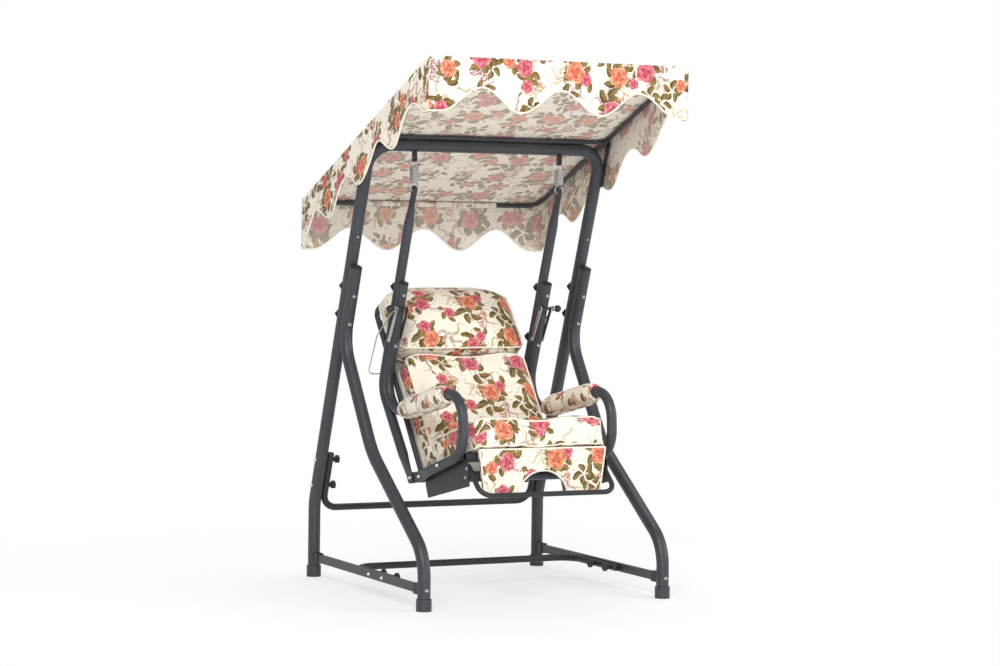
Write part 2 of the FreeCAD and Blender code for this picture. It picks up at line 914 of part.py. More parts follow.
def arm_tube(side):
    x = side * hang_half
    back_y, back_z = arm_corner()
    hole = arm_end_hole(side)
    chin = Vec(x, arm_chin_y, arm_chin_z)
    along = (hole - chin).normalize()
    root = hole - along * (eye_taper + eye_width / 2)
    path = [
        Vec(x, arm_axis_y(arm_top_z), arm_top_z),
        Vec(x, back_y, back_z),
        Vec(x, arm_front_y, arm_rest_height(arm_front_y)),
        chin,
        root,
    ]
    tube = bent_tube(path, [arm_back_radius, arm_front_radius, arm_chin_radius], arm_od, arm_wall)
    eye = flat_eye(root, along, hole, bolt_d + 2 * bolt_play)
    holes = hanger_bolt_holes(side) + [arm_bolt_hole(side), lever_pin_hole(side)]
    return drilled(tube.fuse(eye), holes)


def arm_tube_caps():
    top_y = arm_axis_y(arm_top_z)
    maker = lambda side: tube_cap(Vec(side * hang_half, top_y, arm_top_z), LEAN_UP, arm_od, arm_wall)
    return both_sides(maker)


def hanger_bolts():
    solids = []
    for side in SIDES:
        for z in hanger_bolt_zs:
            solids.append(bolt(hanger_bolt_seat(side, z), LEAN_FRONT * -1, hanger_bolt_length()))
    return group(solids)


def hanger_knobs():
    solids = []
    for side in SIDES:
        for z in hanger_bolt_zs:
            seat = hanger_bolt_seat(side, z)
            neck_seat = seat - LEAN_FRONT * (hanger_bolt_length() - knob_neck + seat_play)
            hole = rod(seat, LEAN_FRONT * -1, hanger_bolt_length() + seat_play, bolt_d + 2 * bolt_play)
            solids.append(knob(neck_seat, LEAN_FRONT * -1).cut(hole))
    return group(solids)


def armrest_pad(side):
    """Padded roll round the armrest run: fat in the middle, drawn in at both ends."""
    x = side * hang_half
    rear = Vec(x, pad_rear_y, arm_rest_height(pad_rear_y))
    front = Vec(x, pad_front_y, arm_rest_height(pad_front_y))
    length = rear.distanceToPoint(front)
    inner = arm_od / 2 + gap
    ends = pad_end_od / 2
    belly = pad_od / 2
    quarter = length / 4
    points = [
        Vec(inner, 0, 0),
        Vec(ends, 0, 0),
        Vec(belly * (1 + pad_bow_share) / 2, 0, quarter / 3),
        Vec(belly, 0, quarter),
        Vec(belly, 0, length - quarter),
        Vec(belly * (1 + pad_bow_share) / 2, 0, length - quarter / 3),
        Vec(ends, 0, length),
        Vec(inner, 0, length),
    ]
    edges = [
        Part.LineSegment(points[0], points[1]).toShape(),
        Part.Arc(points[1], points[2], points[3]).toShape(),
        Part.LineSegment(points[3], points[4]).toShape(),
        Part.Arc(points[4], points[5], points[6]).toShape(),
        Part.LineSegment(points[6], points[7]).toShape(),
        Part.LineSegment(points[7], points[0]).toShape(),
    ]
    roll = Part.Face(Part.Wire(edges)).revolve(Vec(0, 0, 0), Vec(0, 0, 1), full_turn)
    turn = FreeCAD.Rotation(Vec(0, 0, 1), (front - rear).normalize())
    roll.Placement = FreeCAD.Placement(rear, turn)
    return roll


# Seat frame

seat_run = Vec(0, seat_front_y - seat_rear_y, seat_front_z - seat_rear_z)
SEAT_FRONT = Vec(seat_run.x, seat_run.y, seat_run.z).normalize()
SEAT_UP = SEAT_FRONT.cross(X_AXIS).normalize() * (1 if SEAT_FRONT.cross(X_AXIS).z > 0 else -1)
SEAT_REAR_POINT = Vec(0, seat_rear_y, seat_rear_z)


def seat_point(x, ahead, up):
    """Point in the seat's own slope: ahead of the rear tube and above the tubes' plane."""
    return SEAT_REAR_POINT + X_AXIS * x + SEAT_FRONT * ahead + SEAT_UP * up


def plate_face_x():
    """Inner face of the side plates."""
    return hang_half - arm_od / 2 - gap - side_plate


def straight_tube(half_length, y, z, od, wall):
    start = Vec(-half_length, y, z)
    return rod(start, X_AXIS, 2 * half_length, od).cut(rod(start, X_AXIS, 2 * half_length, od - 2 * wall))


def seat_front_tube():
    return straight_tube(plate_face_x(), seat_front_y, seat_front_z, seat_tube_od, seat_tube_wall)


def end_plate_x():
    """Inner face of the rear end plates, which lie against the flattened tube ends."""
    return hang_half - eye_flat / 2 - end_plate


def rear_end_plate(side):
    """Plate that joins the hanger's and the arm's flattened rear ends."""
    inner = end_plate_x()
    start = min(side * inner, side * (inner + end_plate))
    holes = [hang_end_hole(side), arm_end_hole(side)]
    discs = []
    for hole in holes:
        discs.append(rod(Vec(start, hole.y, hole.z), X_AXIS, end_plate, end_plate_round))
    along = (holes[1] - holes[0])
    wide = along.cross(X_AXIS).normalize() * (end_plate_round / 2)
    corners = [holes[0] + wide, holes[1] + wide, holes[1] - wide, holes[0] - wide]
    outline = [Vec(start, p.y, p.z) for p in corners]
    web = Part.Face(Part.makePolygon(outline + outline[:1])).extrude(X_AXIS * end_plate)
    cutters = [rod(Vec(start - overrun, h.y, h.z), X_AXIS, end_plate + 2 * overrun, bolt_d + 2 * bolt_play)
               for h in holes]
    return discs[0].fuse([discs[1], web]).removeSplitter().cut(cutters)


def seat_rear_tube():
    tube = straight_tube(end_plate_x(), seat_rear_y, seat_rear_z, seat_tube_od, seat_tube_wall)
    return tube.fuse([rear_end_plate(side) for side in SIDES]).removeSplitter()


def seat_sling():
    length = seat_run.Length + sling_lip
    low = seat_tube_od / 2 + gap
    high = low + sling_thickness
    corners = ((0, low), (length, low), (length, high), (0, high))
    outline = [seat_point(-sling_half, ahead, up) for ahead, up in corners]
    return Part.Face(Part.makePolygon(outline + outline[:1])).extrude(X_AXIS * (2 * sling_half))


def side_plate_sheet(side):
    inner = plate_face_x()
    start = min(side * inner, side * (inner + side_plate))
    outline = [Vec(start, y, z) for y, z in plate_points]
    sheet = Part.Face(Part.makePolygon(outline + outline[:1])).extrude(X_AXIS * side_plate)
    return drilled(sheet, [arm_bolt_hole(side)] + plate_screw_holes(side))


def plate_screw_spots():
    """Depth and height of the screws into the foot bar and the lower tube."""
    return ((foot_bar_top_y, foot_bar_top_z), (low_tube_y, low_tube_z))


def plate_screw_holes(side):
    x = side * (plate_face_x() + side_plate + overrun)
    return [rod(Vec(x, y, z), Vec(-side, 0, 0), side_plate + 2 * overrun, bolt_d + 2 * bolt_play)
            for y, z in plate_screw_spots()]


def plate_screws():
    solids = []
    length = side_plate + gap + foot_bar_wall
    for side in SIDES:
        for y, z in plate_screw_spots():
            seat = Vec(side * (plate_face_x() + side_plate), y, z)
            solids.append(bolt(seat, Vec(-side, 0, 0), length, bolt_d, wide_head_d, screw_head_height))
    return group(solids)


def seat_low_tube():
    return straight_tube(plate_face_x(), low_tube_y, low_tube_z, seat_tube_od, seat_tube_wall)


def foot_bar_x():
    """Middle of the foot bar's legs, inside the side plates."""
    return plate_face_x() - gap - foot_bar_od / 2


def foot_bar():
    x = foot_bar_x()
    path = [
        Vec(-x, foot_bar_top_y, foot_bar_top_z),
        Vec(-x, foot_bar_y, foot_bar_z),
        Vec(x, foot_bar_y, foot_bar_z),
        Vec(x, foot_bar_top_y, foot_bar_top_z),
    ]
    rise = (path[0] - path[1]).normalize()
    path[0] = path[0] + rise * foot_bar_lip
    path[3] = path[3] + rise * foot_bar_lip
    tube = bent_tube(path, [foot_bar_radius] * 2, foot_bar_od, foot_bar_wall)
    return drilled(tube, plate_screw_holes(-1) + plate_screw_holes(1))


def arm_bolts():
    """Bolts through the arms' lower runs and through the flattened rear ends, with their nuts."""
    solids = []
    for side in SIDES:
        inward = Vec(-side, 0, 0)
        spot = arm_bolt_spot(side)
        grip = arm_od + seat_play + gap + side_plate
        seat = spot - inward * (arm_od / 2 + seat_play)
        solids.append(bolt(seat, inward, grip + nut_height).fuse(nut(seat + inward * grip, inward)))
        for hole in (hang_end_hole(side), arm_end_hole(side)):
            seat = hole - inward * (eye_flat / 2)
            grip = eye_flat + end_plate
            solids.append(bolt(seat, inward, grip + nut_height).fuse(nut(seat + inward * grip, inward)))
    return group(solids)


# Cushions

def bowed_edge(start, end, outward, bow):
    """Edge between two points that swells outward by bow."""
    return Part.Arc(start, (start + end) / 2 + outward * bow, end).toShape()


def pad_section(place, x, corners, bows):
    """Closed section of a cushion at x; bows are for its front, top and rear edges."""
    low_front, high_front, high_rear, low_rear = [place(x, a, u) for a, u in corners]
    ahead = (place(0, 1, 0) - place(0, 0, 0)).normalize()
    up = (place(0, 0, 1) - place(0, 0, 0)).normalize()
    edges = [
        bowed_edge(low_front, high_front, ahead, bows[0]),
        bowed_edge(high_front, high_rear, up, bows[1]),
        bowed_edge(high_rear, low_rear, ahead * -1, bows[2]),
        Part.LineSegment(low_rear, low_front).toShape(),
    ]
    return Part.Wire(edges)


def crowned_pad(place, half, corners, crown, end_bows, shares=pad_section_shares):
    """Cushion with a crown, a flat base and bowed ends; the shares draw its sides in."""
    sections = []
    for share, inset, crown_share in shares:
        x = half * share
        shrink = pad_draw * inset
        low_front, high_front, high_rear, low_rear = corners
        drawn = (
            (low_front[0] - shrink, low_front[1]),
            (high_front[0] - shrink, high_front[1] - shrink),
            (high_rear[0] + shrink, high_rear[1] - shrink),
            (low_rear[0] + shrink, low_rear[1]),
        )
        bows = [bow * crown_share for bow in (end_bows[0], crown, end_bows[1])]
        sections.append(pad_section(place, x, drawn, bows))
    return Part.makeLoft(sections, True, False)


def seat_pad_base():
    """Height of the seat cushion's base above the seat tubes' plane."""
    return seat_tube_od / 2 + gap + sling_thickness + gap


def seat_cushion():
    base = seat_pad_base()
    top = base + seat_pad_thick
    corners = (
        (seat_pad_front, base),
        (seat_pad_front, top),
        (seat_pad_rear - seat_pad_lean, top),
        (seat_pad_rear, base),
    )
    return crowned_pad(seat_point, seat_pad_half, corners, pad_crown, (pad_crown, pad_end_bow))


def leg_flap():
    """Padded flap that hangs from the seat cushion's front edge, with an arch in its lower edge."""
    hang = seat_point(0, seat_pad_front, seat_pad_base())
    y = hang.y - flap_thick / 2
    top = seat_point(0, seat_pad_front - flap_thick / 2, seat_pad_base()).z - gap
    right_low = Vec(flap_bottom_half, y, flap_bottom_z)
    points = [
        Vec(-flap_top_half, y, top),
        Vec(flap_top_half, y, top),
        Vec(flap_bottom_half, y, flap_bottom_z + flap_corner),
        Vec(flap_bottom_half - flap_corner, y, flap_bottom_z),
        Vec(arch_half, y, flap_bottom_z),
        Vec(-arch_half, y, flap_bottom_z),
        Vec(flap_corner - flap_bottom_half, y, flap_bottom_z),
        Vec(-flap_bottom_half, y, flap_bottom_z + flap_corner),
    ]
    left_low = Vec(-right_low.x, y, flap_bottom_z)
    edges = [
        Part.LineSegment(points[0], points[1]).toShape(),
        Part.LineSegment(points[1], points[2]).toShape(),
        corner_arc(points[2], right_low, points[3]),
        Part.LineSegment(points[3], points[4]).toShape(),
        Part.Arc(points[4], Vec(0, y, flap_bottom_z + arch_height), points[5]).toShape(),
        Part.LineSegment(points[5], points[6]).toShape(),
        corner_arc(points[6], left_low, points[7]),
        Part.LineSegment(points[7], points[0]).toShape(),
    ]
    return Part.Face(Part.Wire(edges)).extrude(Vec(0, flap_thick, 0))


# Backrest

BACK_UP = Vec(0, math.sin(math.radians(back_lean)), math.cos(math.radians(back_lean)))
BACK_FRONT = Vec(0, -math.cos(math.radians(back_lean)), math.sin(math.radians(back_lean)))


def back_point(x, ahead, up):
    """Point of the backrest: ahead of its frame's plane and up along it from the hinge."""
    return SEAT_REAR_POINT + X_AXIS * x + BACK_FRONT * ahead + BACK_UP * up


def backrest_frame():
    path = [
        back_point(-back_half, 0, 0),
        back_point(-back_half, 0, back_length),
        back_point(back_half, 0, back_length),
        back_point(back_half, 0, 0),
    ]
    tube = bent_tube(path, [back_radius] * 2, back_od, back_wall)
    bore_d = seat_tube_od + 2 * sleeve_play
    sleeves = []
    bores = []
    for side in SIDES:
        start = Vec(side * back_half - sleeve_width / 2, seat_rear_y, seat_rear_z)
        sleeves.append(rod(start, X_AXIS, sleeve_width, bore_d + 2 * sleeve_wall))
        bores.append(rod(start - X_AXIS * overrun, X_AXIS, sleeve_width + 2 * overrun, bore_d))
    return tube.fuse(sleeves).cut(bores)


def back_sling():
    half = back_half - back_od / 2 - gap
    low = seat_tube_od / 2 + sleeve_wall + sling_lip
    high = back_length - back_od / 2 - back_radius
    outline = [back_point(-half, side * sling_thickness / 2, up) for side, up in
               ((-1, low), (1, low), (1, high), (-1, high))]
    return Part.Face(Part.makePolygon(outline + outline[:1])).extrude(X_AXIS * (2 * half))


def back_pad_corners(start, end, base, low_thick, top_thick):
    """Section corners of a cushion on the backrest, from its base outwards."""
    return ((end, base), (end, base + top_thick), (start, base + low_thick), (start, base))


def along_back(x, up, ahead):
    """Backrest point in a cushion's order: along the back first, then out of it."""
    return back_point(x, ahead, up)


def back_cushion():
    base = sling_thickness / 2 + gap
    corners = back_pad_corners(back_pad_start, back_pad_end, base, back_pad_thick, back_pad_thick)
    return crowned_pad(along_back, back_pad_half, corners, pad_crown, (pad_end_bow, pad_end_bow))


def headrest():
    """Domed pillow that hangs over the back cushion's upper edge."""
    base = back_od / 2 + gap
    corners = back_pad_corners(head_start, head_end, base, head_low_thick, head_top_thick)
    bows = (head_crown, pad_end_bow)
    return crowned_pad(along_back, head_half, corners, head_crown, bows, head_section_shares)


# Recline latch

def rod_spot(side):
    """Middle of the latch rod, lying against the front of the arm tube."""
    out = arm_od / 2 + gap + rod_d / 2
    along = math.sqrt(lever_length * lever_length - out * out)
    return lever_pin_spot(side) + LEAN_UP * along + LEAN_FRONT * out


def bar_offsets():
    """Near faces of the inner and the outer lever bar, from the arm tube's middle."""
    near = arm_od / 2 + bar_side_gap
    return (-near - bar_thick, near)


def lever_bar(side, offset):
    """Flat bar with round ends from the lever pin to the latch rod."""
    x = side * hang_half + offset
    low = lever_pin_spot(side)
    high = rod_spot(side)
    wide = (high - low).cross(X_AXIS).normalize() * (bar_width / 2)
    outline = [Vec(x, p.y, p.z) for p in (low + wide, high + wide, high - wide, low - wide)]
    web = Part.Face(Part.makePolygon(outline + outline[:1])).extrude(X_AXIS * bar_thick)
    ends = [rod(Vec(x, p.y, p.z), X_AXIS, bar_thick, bar_width) for p in (low, high)]
    cutters = [
        rod(Vec(x - overrun, low.y, low.z), X_AXIS, bar_thick + 2 * overrun, bolt_d + 2 * pin_play),
        rod(Vec(x - overrun, high.y, high.z), X_AXIS, bar_thick + 2 * overrun, rod_d + 2 * gap),
    ]
    return web.fuse(ends).removeSplitter().cut(cutters)


def lever_bars():
    return group([lever_bar(side, offset) for side in SIDES for offset in bar_offsets()])


def lever_pin(side):
    """Pin through the arm tube, headed outside both lever bars."""
    spot = lever_pin_spot(side)
    reach = arm_od / 2 + bar_side_gap + bar_thick + gap
    shank = rod(spot - X_AXIS * reach, X_AXIS, 2 * reach, bolt_d)
    heads = [rod(spot + X_AXIS * (way * reach), X_AXIS * way, screw_head_height, wide_head_d)
             for way in SIDES]
    return shank.fuse(heads)


def lever_pins():
    return both_sides(lever_pin)


def rod_outer_x():
    """Outer end of the latch rod's bare stretch, where the ball knob starts."""
    return hang_half + arm_od / 2 + bar_side_gap + bar_thick + rod_outside


def latch_rod(side):
    spot = rod_spot(side)
    inner = hang_half - arm_od / 2 - bar_side_gap - bar_thick - bar_side_gap
    start = Vec(side * inner, spot.y, spot.z)
    return rod(start, Vec(side, 0, 0), rod_outer_x() - inner + ball_d / 2, rod_d)


def latch_rods():
    return both_sides(latch_rod)


def latch_ball(side):
    """Turned ball knob, flat towards the wire, with a blind hole for the rod."""
    spot = rod_spot(side)
    radius = ball_d / 2
    centre = ball_d * ball_centre_share
    outward = Vec(side, 0, 0)
    near = Vec(side * rod_outer_x(), spot.y, spot.z)
    hole_radius = rod_d / 2 + gap
    hole_depth = radius + gap
    face_radius = math.sqrt(radius * radius - centre * centre)

    def at(out, across):
        return near + outward * out + Vec(0, 0, across)

    edges = [
        Part.makeLine(at(0, hole_radius), at(0, face_radius)),
        Part.Arc(at(0, face_radius), at(centre, radius), at(centre + radius, 0)).toShape(),
        Part.makeLine(at(centre + radius, 0), at(hole_depth, 0)),
        Part.makeLine(at(hole_depth, 0), at(hole_depth, hole_radius)),
        Part.makeLine(at(hole_depth, hole_radius), at(0, hole_radius)),
    ]
    return Part.Face(Part.Wire(edges)).revolve(near, outward, full_turn)


def latch_balls():
    return both_sides(latch_ball)


def wire_x():
    """Middle of the wire's eyes on the rods, between the outer bars and the balls."""
    return rod_outer_x() - rod_outside / 2


def recline_wire():
    """Wire bail with an eye on each latch rod, bent round behind the backrest."""
    eye_radius = rod_d / 2 + gap + wire_d / 2
    first_way = Vec(0, wire_bend_y, wire_bend_z).normalize()
    path = []
    eyes = []
    for side in SIDES:
        spot = rod_spot(side)
        eye = Vec(side * wire_x(), spot.y, spot.z)
        eyes.append(Part.makeTorus(eye_radius, wire_d / 2, eye, X_AXIS))
        run = [
            eye + first_way * eye_radius,
            eye + Vec(0, wire_bend_y, wire_bend_z),
            eye + Vec(0, wire_drop_y, wire_drop_z),
        ]
        path = path + (run if side < 0 else list(reversed(run)))
    radii = [wire_bend_radius, wire_corner_radius, wire_corner_radius, wire_bend_radius]
    return round_bar(bent_wire(path, radii), wire_d).fuse(eyes)


# Canopy

ROOF_FRONT = Vec(0, -math.cos(math.radians(canopy_tilt)), math.sin(math.radians(canopy_tilt)))
ROOF_UP = Vec(0, math.sin(math.radians(canopy_tilt)), math.cos(math.radians(canopy_tilt)))
PIVOT = Vec(0, rear_leg_y(pivot_z), pivot_z)
ROOF_FRONT_EDGE = PIVOT + ROOF_FRONT * canopy_front_run + ROOF_UP * canopy_rise
ROOF_REAR_EDGE = PIVOT - ROOF_FRONT * canopy_rear_run + ROOF_UP * canopy_rise
origin_y = (ROOF_FRONT_EDGE.y + ROOF_REAR_EDGE.y) / 2


def scallop_edges(start, end, waves):
    """Wavy lower hem under the line from start to end, low at both ends, in quarter-wave arcs."""
    def hem(share):
        drop = drop_mean + drop_wave * math.cos(2 * math.pi * waves * share)
        return start + (end - start) * share - Vec(0, 0, drop)
    edges = []
    quarters = 4 * waves
    for index in range(quarters):
        knots = [hem((index + part) / quarters) for part in (0, 0.5, 1)]
        edges.append(Part.Arc(knots[0], knots[1], knots[2]).toShape())
    return edges


def valance(start, end, margin, waves, inward):
    """One hanging cloth panel under a roof edge, scalloped between its margins."""
    along = (end - start).normalize()
    wave_start = start + along * margin
    wave_end = end - along * margin
    drop = Vec(0, 0, drop_mean + drop_wave)
    hem = scallop_edges(wave_start, wave_end, waves)
    edges = [Part.LineSegment(start, start - drop).toShape()]
    if margin > 0:
        edges.append(Part.LineSegment(start - drop, wave_start - drop).toShape())
    edges.extend(hem)
    if margin > 0:
        edges.append(Part.LineSegment(wave_end - drop, end - drop).toShape())
    edges.append(Part.LineSegment(end - drop, end).toShape())
    edges.append(Part.LineSegment(end, start).toShape())
    return Part.Face(Part.Wire(edges)).extrude(inward * cloth)


def canopy_cloth():
    sideways = X_AXIS * canopy_half
    front_left = ROOF_FRONT_EDGE - sideways
    front_right = ROOF_FRONT_EDGE + sideways
    rear_left = ROOF_REAR_EDGE - sideways
    rear_right = ROOF_REAR_EDGE + sideways
    down = Vec(0, 0, -cloth)
    outline = [front_left, rear_left, rear_left + down, front_left + down]
    roof = Part.Face(Part.makePolygon(outline + outline[:1])).extrude(sideways * 2)
    panels = [
        valance(front_left, front_right, front_margin, front_waves, Vec(0, 1, 0)),
        valance(rear_left, rear_right, front_margin, front_waves, Vec(0, -1, 0)),
        valance(front_left, rear_left, 0, side_waves, Vec(1, 0, 0)),
        valance(front_right, rear_right, 0, side_waves, Vec(-1, 0, 0)),
    ]
    return roof.fuse(panels).removeSplitter()


def hoop_reach(edge, way):
    """Distance along the roof from the pivot to a hoop's cross bar, clear of the valance."""
    clear = cloth + hoop_od / 2 + gap
    return abs(edge.y + way * clear - PIVOT.y) / math.cos(math.radians(canopy_tilt))


def canopy_hoop(reach, way):
    """U-shaped half of the canopy frame; way is +1 to the front and -1 to the rear."""
    far = PIVOT + ROOF_FRONT * (way * reach)
    half = X_AXIS * hoop_half
    path = [PIVOT - half, far - half, far + half, PIVOT + half]
    return bent_tube(path, [hoop_radius] * 2, hoop_od, hoop_wall)


def canopy_front_hoop():
    return canopy_hoop(hoop_reach(ROOF_FRONT_EDGE, 1), 1)


def canopy_rear_hoop():
    return canopy_hoop(hoop_reach(ROOF_REAR_EDGE, -1), -1)


def canopy_mid_bar():
    """Middle bar with a socket sleeve for the hoop ends and a pivot stud at each end."""
    inner = hoop_half - socket_od / 2
    bar = straight_tube(inner + socket_wall / 2, PIVOT.y, PIVOT.z, mid_bar_od, hoop_wall)
    solids = []
    bores = []
    for side in SIDES:
        centre = PIVOT + X_AXIS * (side * hoop_half)
        start = centre - ROOF_FRONT * (socket_length / 2)
        solids.append(rod(start, ROOF_FRONT, socket_length, socket_od))
        bore_start = start - ROOF_FRONT * overrun
        bores.append(rod(bore_start, ROOF_FRONT, socket_length + 2 * overrun, hoop_od + 2 * seat_play))
        stud_start = centre + X_AXIS * (side * (socket_od / 2 - socket_wall / 2))
        stud_end = stud_face + stud_nut
        solids.append(rod(stud_start, Vec(side, 0, 0), stud_end - abs(stud_start.x), bolt_d))
    return bar.fuse(solids).cut(bores)


def canopy_nuts():
    """Nuts that hold the canopy's pivot studs in the brackets."""
    solids = []
    for side in SIDES:
        start = PIVOT + X_AXIS * (side * stud_face)
        hole = rod(start - X_AXIS * overrun, X_AXIS, 2 * overrun + stud_nut, bolt_d + 2 * pin_play)
        solids.append(rod(start, Vec(side, 0, 0), stud_nut, nut_d).cut(hole))
    return group(solids)


def bracket_screw_seat(side):
    x = side * (bracket_face + bracket_thick)
    return Vec(x, rear_leg_y(bracket_screw_z), bracket_screw_z)


def canopy_bracket(side):
    """Flat arm from the upright's outer side up to the canopy's pivot."""
    x = min(side * bracket_face, side * (bracket_face + bracket_thick))
    low = Vec(x, rear_leg_y(bracket_low_z), bracket_low_z)
    high = Vec(x, PIVOT.y, PIVOT.z)
    wide = (high - low).cross(X_AXIS).normalize() * (bracket_width / 2)
    outline = [low + wide, high + wide, high - wide, low - wide]
    web = Part.Face(Part.makePolygon(outline + outline[:1])).extrude(X_AXIS * bracket_thick)
    ends = [rod(p, X_AXIS, bracket_thick, bracket_width) for p in (low, high)]
    pivot_hole = rod(high - X_AXIS * overrun, X_AXIS, bracket_thick + 2 * overrun, bolt_d + 2 * pin_play)
    return web.fuse(ends).removeSplitter().cut([pivot_hole, bracket_screw_hole(side)])


def bracket_screw_hole(side):
    start = bracket_screw_seat(side) + X_AXIS * (side * overrun)
    return rod(start, Vec(-side, 0, 0), overrun + bracket_thick + leg_od / 2, bolt_d + 2 * bolt_play)


def canopy_brackets():
    return both_sides(canopy_bracket)


def bracket_screws():
    length = bracket_thick + gap + screw_grip
    maker = lambda side: bolt(bracket_screw_seat(side), Vec(-side, 0, 0), length, bolt_d,
                              wide_head_d, screw_head_height)
    return both_sides(maker)


def build():
    pieces = {
        "top_frame": top_frame().cut([bracket_screw_hole(side) for side in SIDES]),
        "rear_cross_tube": rear_cross_tube(),
        "lower_cross_tube": lower_cross_tube(),
        "cross_tube_caps": cross_tube_caps(),
        "cross_tube_bolts": cross_tube_bolts(),
        "cross_tube_knobs": cross_tube_knobs(),
        "leg_bolts": leg_bolts(),
        "leg_knobs": leg_knobs(),
        "rail_saddles": rail_saddles(),
        "rail_end_bolts": rail_end_bolts(),
        "top_frame_screws": top_frame_screws(),
        "foot_caps": foot_caps(),
        "front_leg_caps": front_leg_caps(),
        "spring_tabs": spring_tabs(),
        "canopy_brackets": canopy_brackets(),
        "bracket_screws": bracket_screws(),
        "arm_tube_caps": arm_tube_caps(),
        "hanger_bolts": hanger_bolts(),
        "hanger_knobs": hanger_knobs(),
        "arm_bolts": arm_bolts(),
        "seat_front_tube": seat_front_tube(),
        "seat_rear_tube": seat_rear_tube(),
        "seat_low_tube": seat_low_tube(),
        "seat_sling": seat_sling(),
        "plate_screws": plate_screws(),
        "foot_bar": foot_bar(),
        "seat_cushion": seat_cushion(),
        "leg_flap": leg_flap(),
        "lever_pins": lever_pins(),
        "backrest_frame": backrest_frame(),
        "back_sling": back_sling(),
        "back_cushion": back_cushion(),
        "headrest": headrest(),
        "lever_bars": lever_bars(),
        "latch_rods": latch_rods(),
        "latch_balls": latch_balls(),
        "recline_wire": recline_wire(),
        "canopy_front_hoop": canopy_front_hoop(),
        "canopy_rear_hoop": canopy_rear_hoop(),
        "canopy_mid_bar": canopy_mid_bar(),
        "canopy_nuts": canopy_nuts(),
        "canopy_cloth": canopy_cloth(),
    }
    paired = {
        "rear_leg": rear_leg,
        "front_leg": front_leg,
        "side_rail": side_rail,
        "spring": spring,
        "hanger": hanger,
        "arm_tube": arm_tube,
        "armrest_pad": armrest_pad,
        "side_plate": side_plate_sheet,
    }
    for name, maker in paired.items():
        pieces[name + "_left"] = maker(-1)
        pieces[name + "_right"] = maker(1)
    return pieces


def main():
    os.makedirs("parts", exist_ok=True)
    for name, shape in build().items():
        moved = shape.copy()
        moved.translate(Vec(0, -origin_y, 0))
        moved.exportStep(os.path.join("parts", name + ".step"))
        state = "valid" if moved.isValid() else "INVALID"
        print(name, len(moved.Solids), state, round(moved.Volume / cubic_cm, 1), "cm3")


main()
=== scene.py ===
"""Dresses the framed garden swing: print cushions, canopy cloth, springs, finishes and stage.

Everything is in metres in the frame's own axes: +X to the viewer's right, +Y to the rear, +Z up.
"""
import json
import math
from functools import partialmethod

import bmesh
import bpy
from mathutils import Matrix, Vector, noise
from mathutils.bvhtree import BVHTree
from mathutils.kdtree import KDTree
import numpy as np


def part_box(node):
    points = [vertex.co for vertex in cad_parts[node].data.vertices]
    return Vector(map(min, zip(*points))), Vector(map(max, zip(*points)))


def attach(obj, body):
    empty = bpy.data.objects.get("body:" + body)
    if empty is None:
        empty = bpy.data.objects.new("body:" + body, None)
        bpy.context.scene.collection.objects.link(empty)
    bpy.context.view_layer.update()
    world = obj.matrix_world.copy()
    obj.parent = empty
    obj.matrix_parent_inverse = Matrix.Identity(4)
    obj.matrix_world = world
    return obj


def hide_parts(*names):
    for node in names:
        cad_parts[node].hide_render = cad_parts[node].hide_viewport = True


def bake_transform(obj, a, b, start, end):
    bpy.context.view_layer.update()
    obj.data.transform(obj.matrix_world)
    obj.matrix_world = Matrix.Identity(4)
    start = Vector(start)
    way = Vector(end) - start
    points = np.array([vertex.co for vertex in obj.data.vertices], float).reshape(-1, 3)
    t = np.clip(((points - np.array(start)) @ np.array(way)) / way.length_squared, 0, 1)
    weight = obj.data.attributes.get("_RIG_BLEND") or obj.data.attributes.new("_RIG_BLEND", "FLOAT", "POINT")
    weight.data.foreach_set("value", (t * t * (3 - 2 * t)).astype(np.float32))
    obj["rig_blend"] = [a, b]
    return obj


bl_info = {
    "name": "Garden Swing Dressing",
    "version": (1, 0, 0),
    "blender": (4, 5, 0),
    "location": "View3D > Sidebar > Swing",
    "description": "Dresses the framed garden swing with cushions, canopy, springs and finishes",
    "category": "Object",
}

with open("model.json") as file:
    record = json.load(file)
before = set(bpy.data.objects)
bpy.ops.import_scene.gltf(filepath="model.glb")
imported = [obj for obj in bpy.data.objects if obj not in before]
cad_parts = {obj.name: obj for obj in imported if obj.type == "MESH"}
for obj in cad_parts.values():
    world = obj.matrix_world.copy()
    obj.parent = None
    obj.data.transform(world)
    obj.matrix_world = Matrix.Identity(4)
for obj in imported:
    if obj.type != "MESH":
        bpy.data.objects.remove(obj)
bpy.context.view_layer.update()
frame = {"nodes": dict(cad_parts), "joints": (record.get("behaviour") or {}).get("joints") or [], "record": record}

X = Vector((1, 0, 0))
Y = Vector((0, 1, 0))
Z = Vector((0, 0, 1))
JOINTS = {joint["name"]: joint for joint in frame["joints"]}


def joint_place(name):
    """Rest place of a joint."""
    return Vector(JOINTS[name]["pos_m"])


def box_middle(node):
    low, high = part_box(node)
    return (Vector(low) + Vector(high)) / 2


class PadAxes:
    """Own axes of a soft piece: across it, along it and out of its base."""

    def __init__(self, origin, along, out):
        self.origin = origin
        self.along = along
        self.out = out

    def local(self, point):
        offset = point - self.origin
        return Vector((offset.dot(X), offset.dot(self.along), offset.dot(self.out)))

    def place(self, across, along, out):
        return self.origin + X * across + self.along * along + self.out * out

    def reach(self, points):
        """Lowest and highest local corner of the points."""
        spots = [self.local(point) for point in points]
        low = Vector([min(spot[axis] for spot in spots) for axis in range(3)])
        high = Vector([max(spot[axis] for spot in spots) for axis in range(3)])
        return low, high


def flat_way(node):
    """Direction of a thin leaning panel from its foot to its head."""
    low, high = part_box(node)
    return Vector((0, high[1] - low[1], high[2] - low[2])).normalized()


